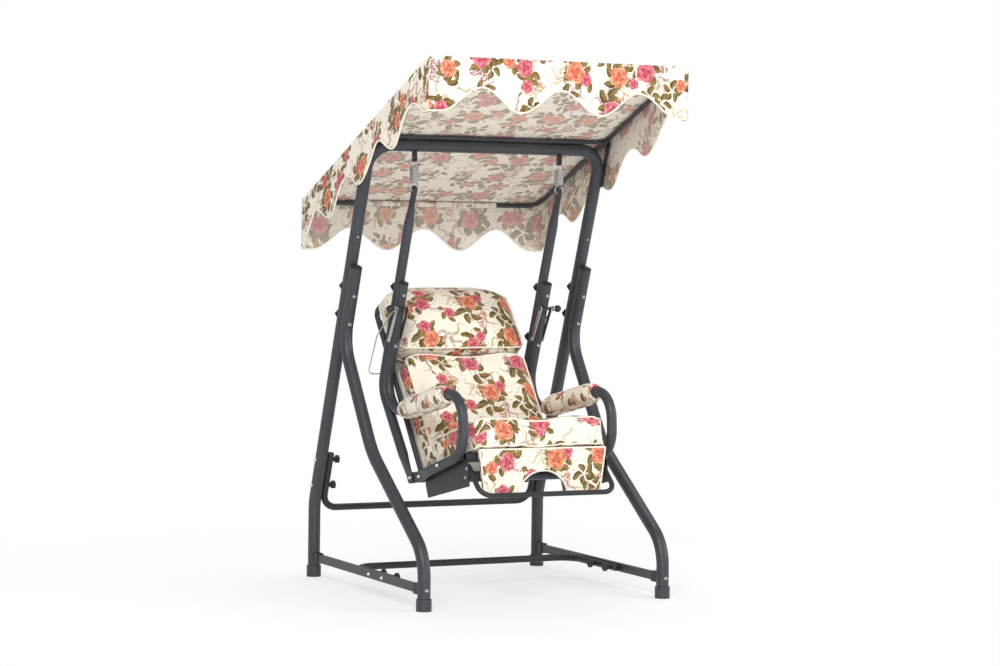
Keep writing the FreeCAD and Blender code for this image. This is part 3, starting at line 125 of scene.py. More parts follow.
HINGE = joint_place("backrest_recline")
SEAT_AHEAD = (box_middle("seat_front_tube") - HINGE).normalized()
BACK_UP = flat_way("back_sling")
SEAT_AXES = PadAxes(HINGE, SEAT_AHEAD, SEAT_AHEAD.cross(X))
BACK_AXES = PadAxes(HINGE, BACK_UP, X.cross(BACK_UP))
FLAP_AXES = PadAxes(box_middle("leg_flap"), Z, -Y)


def metres(label, words, value):
    """Property that holds a length."""
    return bpy.props.FloatProperty(name=label, description=words, default=value, unit="LENGTH")


def whole(label, words, value):
    """Property that holds a whole number."""
    return bpy.props.IntProperty(name=label, description=words, default=value)


def swatch(label, words, value):
    """Property that holds a colour."""
    return bpy.props.FloatVectorProperty(
        name=label, description=words, default=value, size=4, subtype="COLOR", min=0, max=1)


class SwingCloth(bpy.types.PropertyGroup):
    """Sizes of the soft pieces."""

    pad_voxel: metres("Pad Mesh Size", "Edge length of a cushion's mesh", 0.0058)
    pad_ease: metres("Pad Ease", "How much smaller a cushion starts before it is puffed", 0.004)
    pad_swell: metres("Pad Swell", "Most that a point of a cushion may move when puffed", 0.010)
    pad_frames: whole("Puffing Frames", "Frames of the cloth simulation", 14)
    thin_voxel: metres("Thin Pad Mesh Size", "Edge length of the mesh of a thin pad", 0.0045)
    thin_ease: metres("Thin Pad Ease", "How much smaller a thin pad is than its space", 0.001)
    seam_hold: metres("Seam Hold", "Distance from a seam within which the cover is held back", 0.07)
    seam_pinch: metres("Seam Pinch", "How deep the cover is drawn in beside a seam", 0.003)
    crease: metres("Crease", "Height of the soft creases in the cushions", 0.0022)
    piping: metres("Piping Radius", "Radius of the piping in the seams", 0.0034)
    gather: metres("Gather", "Height of the folds round the armrest rolls", 0.005)
    sling_sag: metres("Sling Sag", "Sag in the middle of a sling", 0.0025)
    cloth: metres("Cloth", "Thickness of the canopy and sling cloth", 0.0015)
    roof_sag: metres("Roof Sag", "Sag of the canopy between its bars", 0.009)
    drop: metres("Valance Drop", "Middle drop of the valance", 0.158)
    drop_wave: metres("Scallop", "Rise and fall of the scalloped hem", 0.046)
    hem_margin: metres("Hem Margin", "Straight hem at the front and rear corners", 0.05)
    front_waves: whole("Front Scallops", "Scallops in the front and rear hem", 3)
    side_waves: whole("Side Scallops", "Scallops in each side hem", 4)
    billow: metres("Billow", "How far the valance swings out at its hem", 0.006)
    sleeve_half: metres("Sleeve Half", "Half length of the sleeves round the canopy's hoops", 0.33)


class SwingColours(bpy.types.PropertyGroup):
    """Colours of the print, the tubes and the fittings."""

    cream: swatch("Cream", "Ground of the print", (0.90, 0.84, 0.71, 1))
    rose_deep: swatch("Deep Rose", "Heart of the pink roses", (0.43, 0.045, 0.085, 1))
    rose_light: swatch("Light Rose", "Outer petals of the pink roses", (0.78, 0.30, 0.31, 1))
    coral_deep: swatch("Deep Coral", "Heart of the coral roses", (0.55, 0.10, 0.055, 1))
    coral_light: swatch("Light Coral", "Outer petals of the coral roses", (0.80, 0.42, 0.26, 1))
    leaf_dark: swatch("Dark Leaf", "Shaded half of the leaves", (0.085, 0.060, 0.018, 1))
    leaf_light: swatch("Light Leaf", "Lit half of the leaves", (0.36, 0.245, 0.085, 1))
    twig: swatch("Twig", "Thin stems of the print", (0.045, 0.035, 0.03, 1))
    spray_mauve: swatch("Mauve", "Small sprays of the print", (0.47, 0.19, 0.24, 1))
    spray_gold: swatch("Gold", "Small sprays of the print", (0.47, 0.30, 0.12, 1))
    tube: swatch("Tube Paint", "Powder coat of the tubes", (0.034, 0.038, 0.047, 1))
    dark: swatch("Dark Paint", "Powder coat of the cross tubes and plates", (0.017, 0.018, 0.021, 1))
    plastic: swatch("Plastic", "Moulded knobs and caps", (0.012, 0.012, 0.013, 1))
    zinc: swatch("Zinc", "Bolts, springs and latch bars", (0.62, 0.62, 0.64, 1))
    canvas: swatch("Canvas", "Plain cloth of the slings", (0.50, 0.47, 0.41, 1))


class SwingStage(bpy.types.PropertyGroup):
    """Camera and light."""

    camera_place: bpy.props.FloatVectorProperty(
        name="Camera", description="Place of the camera", default=(-4.778, -9.749, 1.456),
        size=3, subtype="TRANSLATION")
    camera_yaw: bpy.props.FloatProperty(
        name="Yaw", description="Turn of the view about the vertical",
        default=math.radians(-26.39), subtype="ANGLE")
    camera_dip: bpy.props.FloatProperty(
        name="Dip", description="Tilt of the view below the horizon",
        default=math.radians(2.24), subtype="ANGLE")
    camera_roll: bpy.props.FloatProperty(
        name="Roll", description="Roll of the view", default=math.radians(0.80), subtype="ANGLE")
    lens: bpy.props.FloatProperty(
        name="Lens", description="Focal length in millimetres on a 36 mm frame", default=96.69)
    key: bpy.props.FloatProperty(
        name="Key Light", description="Power of the main soft lamp in watts", default=220)
    fill: bpy.props.FloatProperty(
        name="Fill Light", description="Power of the filling lamp in watts", default=120)
    low: bpy.props.FloatProperty(
        name="Low Light", description="Power of the lamp that lights the canopy from below in watts",
        default=50)
    sky: bpy.props.FloatProperty(
        name="Room Light", description="Strength of the even light all round", default=0.5)


def cloth_sizes():
    return bpy.context.scene.swing_cloth


def colours():
    return bpy.context.scene.swing_colours


# Materials

class Socket:
    """A shader socket whose arithmetic adds Math nodes."""

    def __init__(self, finish, socket):
        self.finish = finish
        self.socket = socket

    def of(self, name):
        """Another output of the same node."""
        return Socket(self.finish, self.socket.node.outputs[name])

    def math(self, operation, *others):
        inputs = dict(enumerate((self,) + others))
        return self.finish.node("Math", {"operation": operation}, inputs)

    __add__ = __radd__ = partialmethod(math, "ADD")
    __mul__ = __rmul__ = partialmethod(math, "MULTIPLY")
    __sub__ = partialmethod(math, "SUBTRACT")
    __truediv__ = partialmethod(math, "DIVIDE")
    __pow__ = partialmethod(math, "POWER")
    __gt__ = partialmethod(math, "GREATER_THAN")
    __lt__ = partialmethod(math, "LESS_THAN")
    __abs__ = partialmethod(math, "ABSOLUTE")
    sin = partialmethod(math, "SINE")
    # What is left after whole numbers are taken away
    part = partialmethod(math, "FRACT")

    def __rsub__(self, other):
        return self.finish.node("Math", {"operation": "SUBTRACT"}, {0: other, 1: self})

    def step(self, start, end):
        """Smooth rise from 0 at start to 1 at end."""
        return self.finish.node(
            "MapRange", {"interpolation_type": "SMOOTHSTEP"},
            {"Value": self, "From Min": start, "From Max": end})


class Finish:
    """A material, or the room's light, with one way to make its nodes."""

    def __init__(self, name, data=None, shader="Principled BSDF"):
        self.material = data or bpy.data.materials.new(name)
        self.material.use_nodes = True
        self.tree = self.material.node_tree
        self.shader = self.tree.nodes[shader]

    def feed(self, socket, value):
        if isinstance(value, Socket):
            self.tree.links.new(value.socket, socket)
        else:
            socket.default_value = value

    def node(self, kind, settings=None, inputs=None, output=0):
        made = self.tree.nodes.new("ShaderNode" + kind)
        for key, value in (settings or {}).items():
            if key == "stops":
                for element, (place, colour) in zip(made.color_ramp.elements, value):
                    element.position = place
                    element.color = colour
            else:
                setattr(made, key, value)
        for key, value in (inputs or {}).items():
            self.feed(made.inputs[key], value)
        return Socket(self, made.outputs[output])

    def set(self, **values):
        """Values or links of the shader's own sockets, named with _ for a space."""
        for key, value in values.items():
            self.feed(self.shader.inputs[key.replace("_", " ")], value)

    def mix(self, share, first, second):
        return self.node("Mix", {"data_type": "RGBA"}, {0: share, 6: first, 7: second}, output=2)

    def ramp(self, value, *stops):
        return self.node("ValToRGB", {"stops": stops}, {"Fac": value})

    def noise(self, where, scale, detail=2.0):
        return self.node("TexNoise", None, {"Vector": where, "Scale": scale, "Detail": detail})

    def own(self):
        """The piece's own coordinates."""
        return self.node("TexCoord", output="Object")

    def laid(self):
        """Flat coordinates of a printed cloth, in metres."""
        return self.node("UVMap", {"uv_map": "print"})

    def bump(self, height, distance, strength=1.0, under=None):
        inputs = {"Height": height, "Distance": distance, "Strength": strength}
        if under is not None:
            inputs["Normal"] = under
        return self.node("Bump", None, inputs)


class Bouquets:
    """Scattered spots of the print with their own polar coordinates and chances.

    Distances are in radii of the spot.
    """

    # How far a spot strays from an even grid
    stray = 0.4
    # Size of the smallest spot and what chance adds to it, as shares of the given radius
    least_size = 0.82
    more_size = 0.36
    # How fast leaves and stems curve on their way out, and how far they do, in radians
    curve_rate = 2.1
    leaf_curve = 0.22
    stem_curve = 0.3
    # Sectors counted before the first, so that no number is below 0
    sectors_before = 50
    # Places in the row of chances at which a spot's sectors may start, and their distance
    starts = 61
    start_step = 7.3
    # Chance that a leaf, a frond or a cluster is left out, and that a stem is
    left_out = 0.3
    stem_left_out = 0.45

    def __init__(self, finish, where, per_metre, radius):
        self.finish = finish
        cell = finish.node(
            "TexVoronoi", {"voronoi_dimensions": "2D"},
            {"Vector": where, "Scale": per_metre, "Randomness": self.stray}, output="Color")
        offset = finish.node(
            "VectorMath", {"operation": "SUBTRACT"}, {0: where, 1: cell.of("Position")})
        spot = finish.node("SeparateXYZ", None, {0: offset})
        chance = finish.node("SeparateColor", None, {0: cell})
        self.chance = (chance, chance.of("Green"), chance.of("Blue"))
        across, up = spot, spot.of("Y")
        size = radius * (self.least_size + self.more_size * self.chance[2])
        self.reach = (across * across + up * up).math("SQRT") / size
        self.angle = up.math("ARCTAN2", across) + self.chance[0] * math.tau

    def between(self, start, end):
        """Mask of the ring from start to end."""
        return (self.reach < end) * (self.reach > start)

    def rose(self):
        """Mask and petal shade of a full rose."""
        lobes = 0.07 * (self.angle * 5 + self.chance[1] * 9).sin()
        nicks = 0.04 * (self.angle * 11).sin()
        inside = self.reach / (1 + lobes + nicks)
        curl = (self.angle * 3 + inside * 7).sin()
        petals = (inside * 15 + curl * 1.9).sin()
        shade = inside * 0.62 + petals * 0.30 + curl * 0.10 + 0.05
        return 1 - inside.step(0.93, 1.0), shade

    def sectors(self, count, curve):
        """Distance from the middle of one of count sectors, that sector's chance and its side."""
        bend = (self.reach * self.curve_rate).sin() * curve
        turn = (self.angle + bend) * (count / math.tau) + self.sectors_before
        start = (self.chance[0] * self.starts).math("FLOOR") * self.start_step
        pick = self.finish.node(
            "TexWhiteNoise", {"noise_dimensions": "1D"}, {"W": turn.math("FLOOR") + start})
        return abs(turn.part() - 0.5), pick, turn.part() > 0.5

    def leaves(self, count, start, end, width):
        """Mask and shade of pointed leaves set round the spot, with toothed edges and veins."""
        aside, pick, side = self.sectors(count, self.leaf_curve)
        shorter = (end - start) * 0.3 * pick
        along = (self.reach - start) / (end - shorter - start)
        inside = (along > 0) * (along < 1)
        blade = (along.math("MAXIMUM", 0.0) ** 0.8 * math.pi).sin().math("MAXIMUM", 0.0)
        teeth = 1 + 0.10 * (along * 46).sin()
        mask = (blade * width * teeth - aside).step(0.0, 0.02) * inside * (pick > self.left_out)
        vein = (along * 24 - aside * 34).sin().step(-0.2, 0.9)
        rib = 1 - aside.step(0.012, 0.028)
        return mask, side * 0.34 + vein * 0.22 + pick * 0.3 + rib * 0.3

    def lines(self, count):
        """Distance from one of count lines that run out from the spot, its chance and its side."""
        aside, pick, side = self.sectors(count, self.stem_curve)
        return aside * self.reach * (math.tau / count), pick, side

    def stems(self, count, end, width):
        """Mask of thin stems that run out from the spot."""
        aside, pick, _ = self.lines(count)
        line = 1 - aside.step(width * 0.7, width)
        return line * self.between(0.4, end) * (pick > self.stem_left_out)

    def fronds(self, count, end, width):
        """Mask of slanted leaflets on both sides of each stem."""
        aside, pick, side = self.lines(count)
        rung = (self.reach * 2.9 + side * 0.5 - aside * 1.7).part()
        leaflet = 1 - abs(rung - 0.5).step(0.27, 0.36)
        taper = width * (1 - self.reach / end * 0.75)
        return leaflet * (aside < taper) * self.between(0.5, end) * (pick > self.left_out)

    def cluster(self, florets):
        """Mask of a loose cluster of florets."""
        edge = 1 + 0.30 * (self.angle * 3 + self.chance[1] * 9).sin()
        return florets * (self.reach < edge) * (self.chance[2] > self.left_out)


def shifted(finish, where, place, turn):
    """Print coordinates moved and turned for another layer."""
    return finish.node("Mapping", None, {0: where, "Location": (*place, 0), "Rotation": (0, 0, turn)})


def scaled(colour, share):
    """The colour made darker or, with a share above 1, lighter."""
    return tuple([part * share for part in colour[:3]] + [1])


# Layers of the print beside the large roses: shift and turn of the layer, spots per metre, radius of a spot
PRINT_LAYERS = {
    "small": ((0.37, 0.21), 0.9, 6.3, 0.024),
    "sprigs": ((0.52, 0.94), 1.7, 6.4, 0.026),
    "twigs": ((0.83, 0.57), 2.1, 5.6, 0.024),
    "heather": ((0.29, 0.44), 2.8, 5.9, 0.024),
    "lilac": ((0.15, 0.72), 1.4, 5.4, 0.036),
}
# Rings of leaves in the order of printing: layer, leaves, start and end in radii, width
LEAF_RINGS = (
    ("sprigs", 5, 0.15, 2.6, 0.40),
    ("small", 5, 0.4, 2.6, 0.34),
    ("large", 6, 0.5, 2.0, 0.38),
    ("large", 5, 0.4, 1.75, 0.28),
)
# Layers with roses and the chance that a spot has none
ROSE_LAYERS = (("small", 0.3), ("large", 0.1))
PINK_SHARE = 0.6
# How strongly the sprays cover the ground, and how strongly the clusters and dark stems do
SPRAY_INK = 0.85
DEEP_INK = 0.9
FLORETS_PER_METRE = 105.0


def rose_print(finish, where):
    """Colour of the scattered rose and leaf print on its cream ground."""
    tint = colours()
    wander = finish.noise(where, scale=16.0)
    bend = finish.node(
        "VectorMath", {"operation": "MULTIPLY_ADD"}, {0: wander.of("Color"), 1: (0.009,) * 3, 2: where})
    layers = {"large": Bouquets(finish, bend, per_metre=5.5, radius=0.036)}
    for name, (place, turn, per_metre, radius) in PRINT_LAYERS.items():
        layers[name] = Bouquets(finish, shifted(finish, bend, place, turn), per_metre, radius)

    cream = tuple(tint.cream)
    colour = finish.mix(finish.noise(where, scale=9.0).step(0.3, 0.8), cream, scaled(cream, 0.95))
    florets = finish.node(
        "TexVoronoi", {"voronoi_dimensions": "2D"},
        {"Vector": bend, "Scale": FLORETS_PER_METRE, "Randomness": 0.85}, output="Distance")
    dots = 1 - florets.step(0.42, 0.60)
    lilac = layers["lilac"]
    hue = finish.mix(lilac.chance[1] > 0.55, tuple(tint.spray_mauve), tuple(tint.coral_light))
    speck = finish.mix(florets.step(0.1, 0.5), scaled(tint.spray_mauve, 0.55), hue)
    colour = finish.mix(lilac.cluster(dots) * DEEP_INK, colour, speck)
    for name, ink in (("heather", tint.spray_mauve), ("twigs", tint.spray_gold)):
        fronds = layers[name].fronds(count=5, end=3.2, width=0.42)
        stems = layers[name].stems(count=5, end=3.2, width=0.035)
        colour = finish.mix(fronds * SPRAY_INK, colour, tuple(ink))
        colour = finish.mix(stems * SPRAY_INK, colour, scaled(ink, 0.4))
    stems = layers["large"].stems(count=13, end=2.2, width=0.026)
    colour = finish.mix(stems * DEEP_INK, colour, tuple(tint.twig))
    for name, count, start, end, width in LEAF_RINGS:
        mask, shade = layers[name].leaves(count, start, end, width)
        leaf = finish.ramp(shade, (0.1, tuple(tint.leaf_dark)), (0.95, tuple(tint.leaf_light)))
        colour = finish.mix(mask, colour, leaf)
    for name, bare in ROSE_LAYERS:
        spots = layers[name]
        mask, shade = spots.rose()
        pink = finish.ramp(shade, (0.1, tuple(tint.rose_deep)), (0.85, tuple(tint.rose_light)))
        coral = finish.ramp(shade, (0.1, tuple(tint.coral_deep)), (0.85, tuple(tint.coral_light)))
        petal = finish.mix(spots.chance[1] > PINK_SHARE, pink, coral)
        colour = finish.mix(mask * (spots.chance[2] > bare), colour, petal)
    return colour


def weave(finish, where, thread):
    """Height of a plain weave with the given thread width."""
    spot = finish.node("SeparateXYZ", None, {0: where})
    turns = math.pi / thread
    return (spot * turns).sin() * (spot.of("Y") * turns).sin()


def cloth_bump(finish, where):
    """Weave over soft wrinkles."""
    wrinkles = finish.noise(where, scale=16.0, detail=3.0)
    folds = finish.bump(wrinkles, distance=0.006, strength=0.35)
    return finish.bump(weave(finish, where, thread=0.0011), distance=0.0002, strength=0.35, under=folds)


def printed_cloth(name):
    """Right side of the printed cloth."""
    finish = Finish(name)
    where = finish.laid()
    finish.set(Base_Color=rose_print(finish, where), Normal=cloth_bump(finish, where),
               Roughness=0.86, Sheen_Weight=0.12, Sheen_Roughness=0.4, Specular_IOR_Level=0.2)
    return finish.material


def print_reverse(name):
    """Wrong side of the printed cloth: the print shows through pale and grey, and the grey is also painted shade
    of the canopy's underside.
    """
    finish = Finish(name)
    where = finish.laid()
    # Pale grey veil: partly the paler wrong side of the print, partly painted shade of the canopy's underside
    grey_veil_with_painted_shade = (0.80, 0.76, 0.70, 1)
    shown = finish.mix(0.38, rose_print(finish, where), grey_veil_with_painted_shade)
    finish.set(Base_Color=shown, Normal=cloth_bump(finish, where), Roughness=0.9,
               Specular_IOR_Level=0.15)
    return finish.material


def piping_cloth(name):
    """Plain cream cloth of the piping."""
    finish = Finish(name)
    where = finish.own()
    shade = finish.mix(
        finish.noise(where, scale=25.0), (0.86, 0.79, 0.66, 1), (0.93, 0.88, 0.77, 1))
    twill = finish.bump(finish.noise(where, scale=900.0), distance=0.0003, strength=0.5)
    finish.set(Base_Color=shade, Normal=twill, Roughness=0.82, Specular_IOR_Level=0.2)
    return finish.material


def canvas_cloth(name):
    """Coarse cloth of the slings."""
    finish = Finish(name)
    where = finish.own()
    tint = tuple(colours().canvas)
    shade = finish.mix(finish.noise(where, scale=40.0), tint, scaled(tint, 0.85))
    threads = finish.node(
        "TexWave", {"wave_type": "BANDS"}, {"Vector": where, "Scale": 260.0, "Distortion": 0.4}, "Fac")
    ridges = finish.bump(threads, distance=0.0003, strength=0.4)
    finish.set(Base_Color=shade, Normal=ridges, Roughness=0.88)
    return finish.material


def powder_coat(name, colour, least_rough):
    """Satin powder coat: fine orange peel and slight changes of gloss."""
    finish = Finish(name)
    where = finish.own()
    cloudy = finish.noise(where, scale=7.0, detail=3.0)
    lighter = scaled(colour, 1.22)
    grain = finish.noise(where, scale=1500.0, detail=1.0)
    paint = finish.mix(cloudy.step(0.35, 0.75), tuple(colour), lighter)
    speck = finish.mix(grain.step(0.55, 0.75) * 0.35, paint, lighter)
    peel = finish.bump(finish.noise(where, scale=420.0), distance=0.0004, strength=0.18)
    finish.set(Base_Color=speck, Roughness=least_rough + cloudy * 0.12, Normal=peel,
               Specular_IOR_Level=0.5)
    return finish.material


def moulded_plastic(name):
    """Black plastic with a fine moulded grain."""
    finish = Finish(name)
    where = finish.own()
    tint = tuple(colours().plastic)
    shade = finish.mix(finish.noise(where, scale=30.0), tint, scaled(tint, 1.8))
    grain = finish.bump(finish.noise(where, scale=1100.0), distance=0.0003, strength=0.3)
    rough = 0.42 + finish.noise(where, scale=60.0) * 0.15
    finish.set(Base_Color=shade, Roughness=rough, Normal=grain)
    return finish.material


def bright_zinc(name):
    """Bright zinc plate with a cloudy gloss."""
    finish = Finish(name)
    where = finish.own()
    cloudy = finish.noise(where, scale=220.0, detail=3.0)
    tint = tuple(colours().zinc)
    shade = finish.mix(cloudy.step(0.3, 0.75), tint, scaled(tint, 0.82))
    grain = finish.bump(finish.noise(where, scale=700.0), distance=0.0002, strength=0.25)
    finish.set(Base_Color=shade, Metallic=1.0, Roughness=0.24 + cloudy * 0.2, Normal=grain)
    return finish.material


# Shapes

def placed(name, data):
    """New object in the scene."""
    piece = bpy.data.objects.new(name, data)
    bpy.context.scene.collection.objects.link(piece)
    return piece


def baked(shape, name):
    """Mesh of a finished BMesh, which is freed."""
    mesh = bpy.data.meshes.new(name)
    shape.to_mesh(mesh)
    shape.free()
    return mesh


def dressed(name, mesh, material, body, *nodes, smooth=True):
    """Object of a finished mesh that rides on a body and stands for CAD nodes."""
    piece = placed(name, mesh)
    mesh.materials.append(material)
    if smooth:
        mesh.polygons.foreach_set("use_smooth", [True] * len(mesh.polygons))
    if body:
        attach(piece, body)
    if nodes:
        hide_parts(*nodes)
    return piece


def thicken(piece, thickness, offset=0.0):
    """Gives a sheet its thickness, to both sides or, with an offset of -1, behind its face."""
    thick = piece.modifiers.new("Cloth", "SOLIDIFY")
    thick.thickness = thickness
    thick.offset = offset
    return thick


def evaluated_mesh(piece, name):
    """The piece's mesh with its modifiers applied."""
    graph = bpy.context.evaluated_depsgraph_get()
    mesh = bpy.data.meshes.new_from_object(piece.evaluated_get(graph))
    mesh.name = name
    return mesh


def node_mesh(node):
    """Merged copy of a CAD node's mesh."""
    shape = bmesh.new()
    shape.from_mesh(frame["nodes"][node].data)
    bmesh.ops.remove_doubles(shape, verts=shape.verts, dist=1e-5)
    return shape


def node_points(node):
    """Places of a CAD node's points."""
    return [vert.co.copy() for vert in frame["nodes"][node].data.vertices]


def fine_mesh(name, node, thin):
    """Evenly fine mesh of a CAD cushion, a little smaller than it."""
    sizes = cloth_sizes()
    shape = node_mesh(node)
    ease = sizes.thin_ease if thin else sizes.pad_ease
    for vert in shape.verts:
        vert.co -= vert.normal * ease
    work = placed(name + "_work", baked(shape, name))
    remesh = work.modifiers.new("Fine", "REMESH")
    remesh.mode = "VOXEL"
    remesh.voxel_size = sizes.thin_voxel if thin else sizes.pad_voxel
    fine = evaluated_mesh(work, name)
    bpy.data.objects.remove(work)
    return fine


def puff(mesh, seams):
    """Blows the cover up by a cloth simulation, less and less towards its seams."""
    sizes = cloth_sizes()
    scene = bpy.context.scene
    work = placed(mesh.name + "_work", mesh)
    puffing = work.modifiers.new("Puff", "CLOTH")
    puffing.settings.use_pressure = True
    puffing.settings.uniform_pressure_force = 4.0
    puffing.settings.effector_weights.gravity = 0.0
    puffing.point_cache.frame_end = sizes.pad_frames
    for number in range(1, sizes.pad_frames + 1):
        scene.frame_set(number)
    blown = evaluated_mesh(work, mesh.name + "_blown")
    scene.frame_set(1)
    bpy.data.objects.remove(work)
    for vert, target in zip(mesh.vertices, blown.vertices):
        move = target.co - vert.co
        most = sizes.pad_swell * min(1.0, seams.find(vert.co)[2] / sizes.seam_hold)
        vert.co += move * min(1.0, most / max(move.length, most))
    bpy.data.meshes.remove(blown)


class SkinTape:
    """Measures the distance round a cushion's skin from the middle of its front, section by section."""

    stations = 16
    turns = 64

    def __init__(self, spots, half):
        self.half = half
        rims = [[[] for turn in range(self.turns)] for station in range(self.stations)]
        for spot in spots:
            rims[int(self.station(spot))][int(self.turn(spot))].append(spot.yz)
        self.lengths = [self.measured(rim) for rim in rims]

    def station(self, spot):
        share = (spot.x / self.half.x + 1) / 2
        return min(share * self.stations, self.stations - 1)

    def turn(self, spot):
        angle = math.atan2(spot.y / self.half.y, spot.z / self.half.z)
        return min((angle / math.tau + 0.5) * self.turns, self.turns - 1)

    def measured(self, rim):
        """Lengths from the front to each turn of one section."""
        middles = [sum(spots, Vector((0, 0))) / len(spots) if spots else None for spots in rim]
        lengths = [0.0] * self.turns
        front = self.turns // 2
        for way in (1, -1):
            last, length = middles[front], 0.0
            for number in range(1, front):
                turn = front + way * number
                if last and middles[turn]:
                    length += (middles[turn] - last).length
                last = middles[turn] or last
                lengths[turn] = way * length
        lengths[0] = lengths[1]
        return lengths

    def at(self, spot):
        station = max(0.0, self.station(spot) - 0.5)
        turn = max(0.0, self.turn(spot) - 0.5)
        row, place = int(station), int(turn)
        lengths = []
        for line in self.lengths[row:row + 2]:
            step = line[min(place + 1, self.turns - 1)] - line[place]
            lengths.append(line[place] + step * (turn - place))
        return lengths[0] + (lengths[-1] - lengths[0]) * (station - row)


# How squarely a face must look sideways to belong to a cushion's end
END_FACING = 0.7


def lay_print(mesh, axes):
    """Flat print coordinates in metres that wrap round the cushion and break at its two ends."""
    low, high = axes.reach([vert.co for vert in mesh.vertices])
    half = (high - low) / 2
    spots = [axes.local(vert.co) - (low + high) / 2 for vert in mesh.vertices]
    tape = SkinTape(spots, half)
    laid = [(spot.x, tape.at(spot)) for spot in spots]
    layer = mesh.uv_layers.new(name="print")
    for face in mesh.polygons:
        sideways = face.normal.dot(X)
        for loop in face.loop_indices:
            number = mesh.loops[loop].vertex_index
            across, along, out = spots[number]
            if abs(sideways) > END_FACING:
                layer.data[loop].uv = (across + math.copysign(half.z - out, sideways), along)
            else:
                layer.data[loop].uv = laid[number]


def held_normals(mesh):
    """Normals of the mesh's points as they are now."""
    return [vert.normal.copy() for vert in mesh.vertices]


def soft_cushion(name, node, axes, body, levels):
    """Puffed cushion with creases, a flat base and piped edges at the given levels."""
    sizes = cloth_sizes()
    mesh = fine_mesh(name, node, thin=False)
    loops = [edge_loop(mesh, axes, level) for level in levels]
    seams = seam_tree(loops)
    puff(mesh, seams)
    crease(mesh, axes, sizes.crease)
    level_base(mesh, axes, axes.reach(node_points(node))[0].z)
    return cover(name, mesh, node, axes, body, loops)


def thin_cushion(name, node, axes, body, loops, gather=0.0):
    """Thin pad that keeps its solid's shape, with folds across it and piped edges."""
    mesh = fine_mesh(name, node, thin=True)
    crease(mesh, axes, cloth_sizes().thin_ease, gather)
    return cover(name, mesh, node, axes, body, loops)


def cover(name, mesh, node, axes, body, loops):
    """Pinches, prints and pipes a cushion's mesh and puts it in its solid's place."""
    loops = [snapped(mesh, loop) for loop in loops]
    if loops:
        pinch(mesh, seam_tree(loops))
    lay_print(mesh, axes)
    piece = dressed(name, mesh, bpy.data.materials["cushion print"], body, node)
    for number, loop in enumerate(loops):
        piping(f"{name}_piping_{number}", loop, body, "cushion_fabric")
    return piece


# How close the creases and the folds of a gathered cover lie, as scales of their noise
COARSE_CREASES = 9.0
FINE_CREASES = 23.0
FOLDS_ACROSS = 14
FOLDS_ALONG = 34


def crease(mesh, axes, height, gather=0.0):
    """Soft creases all over and, for a gathered cover, folds across its length."""
    for vert, normal in zip(mesh.vertices, held_normals(mesh)):
        ripple = noise.noise(vert.co * COARSE_CREASES) + 0.5 * noise.noise(vert.co * FINE_CREASES)
        across, along, out = axes.local(vert.co)
        folds = noise.noise(Vector((across * FOLDS_ACROSS, along * FOLDS_ALONG, out * FOLDS_ACROSS)))
        vert.co += normal * (ripple * height + min(0.0, folds) * gather)


def level_base(mesh, axes, base):
    """Lifts what has sunk below the cushion's flat base."""
    for vert in mesh.vertices:
        depth = axes.local(vert.co).z
        if depth < base:
            vert.co += axes.out * (base - depth)


def snapped(mesh, points):
    """The points moved to the nearest places on the mesh."""
    tree = BVHTree.FromPolygons(
        [vert.co for vert in mesh.vertices], [tuple(face.vertices) for face in mesh.polygons])
    return [tree.find_nearest(point)[0] for point in points]


def seam_tree(loops):
    """Finder of the nearest point of the seams."""
    points = [point for loop in loops for point in loop]
    tree = KDTree(len(points))
    for number, point in enumerate(points):
        tree.insert(point, number)
    tree.balance()
    return tree


# Distance from a seam at which the pinch ends, in radii of the piping
PINCH_REACH = 5


def pinch(mesh, seams):
    """Draws the cover in under and beside the seams."""
    sizes = cloth_sizes()
    width = PINCH_REACH * sizes.piping
    for vert, normal in zip(mesh.vertices, held_normals(mesh)):
        share = max(0.0, 1 - seams.find(vert.co)[2] / width)
        vert.co -= normal * (sizes.seam_pinch * share * share)


# Sides of a cushion in turn: the axis it runs along, the axis it faces, which way, and backwards or not
EDGE_RUNS = ((0, 1, 1, False), (1, 0, 1, True), (0, 1, -1, True), (1, 0, -1, False))
# How much more a point's reach to the side counts than its height when an edge is looked for
SIDE_WEIGHT = 2


def edge_loop(mesh, axes, level, steps=34):
    """Points round a cushion's upper edge, for level 1, or its lower edge, for level -1."""
    spots = [axes.local(vert.co) for vert in mesh.vertices]
    low, high = axes.reach([vert.co for vert in mesh.vertices])
    points = []
    for run, facing, way, backwards in EDGE_RUNS:
        best = {}
        for spot in spots:
            station = min(steps - 1, int(steps * (spot[run] - low[run]) / (high[run] - low[run])))
            reach = SIDE_WEIGHT * way * spot[facing] + level * spot.z
            if station not in best or reach > best[station][0]:
                best[station] = (reach, spot)
        points += [axes.place(*best[station][1]) for station in sorted(best, reverse=backwards)]
    return points


def piping(name, points, body, slot):
    """Closed round piping along the points."""
    line = bpy.data.curves.new(name, "CURVE")
    line.dimensions = "3D"
    line.bevel_depth = cloth_sizes().piping
    line.bevel_resolution = 2
    run = line.splines.new("NURBS")
    run.points.add(len(points) - 1)
    for spot, point in zip(run.points, points):
        spot.co = (*point, 1)
    run.order_u = 3
    run.use_cyclic_u = True
    run.resolution_u = 2
    cord = placed(name, line)
    line.materials.append(bpy.data.materials["piping"])
    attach(cord, body)
    return cord


# How squarely a face must look along a direction, and how close to the foremost point it must lie
SQUARE_FACING = 0.999
FACE_DEPTH = 1e-4


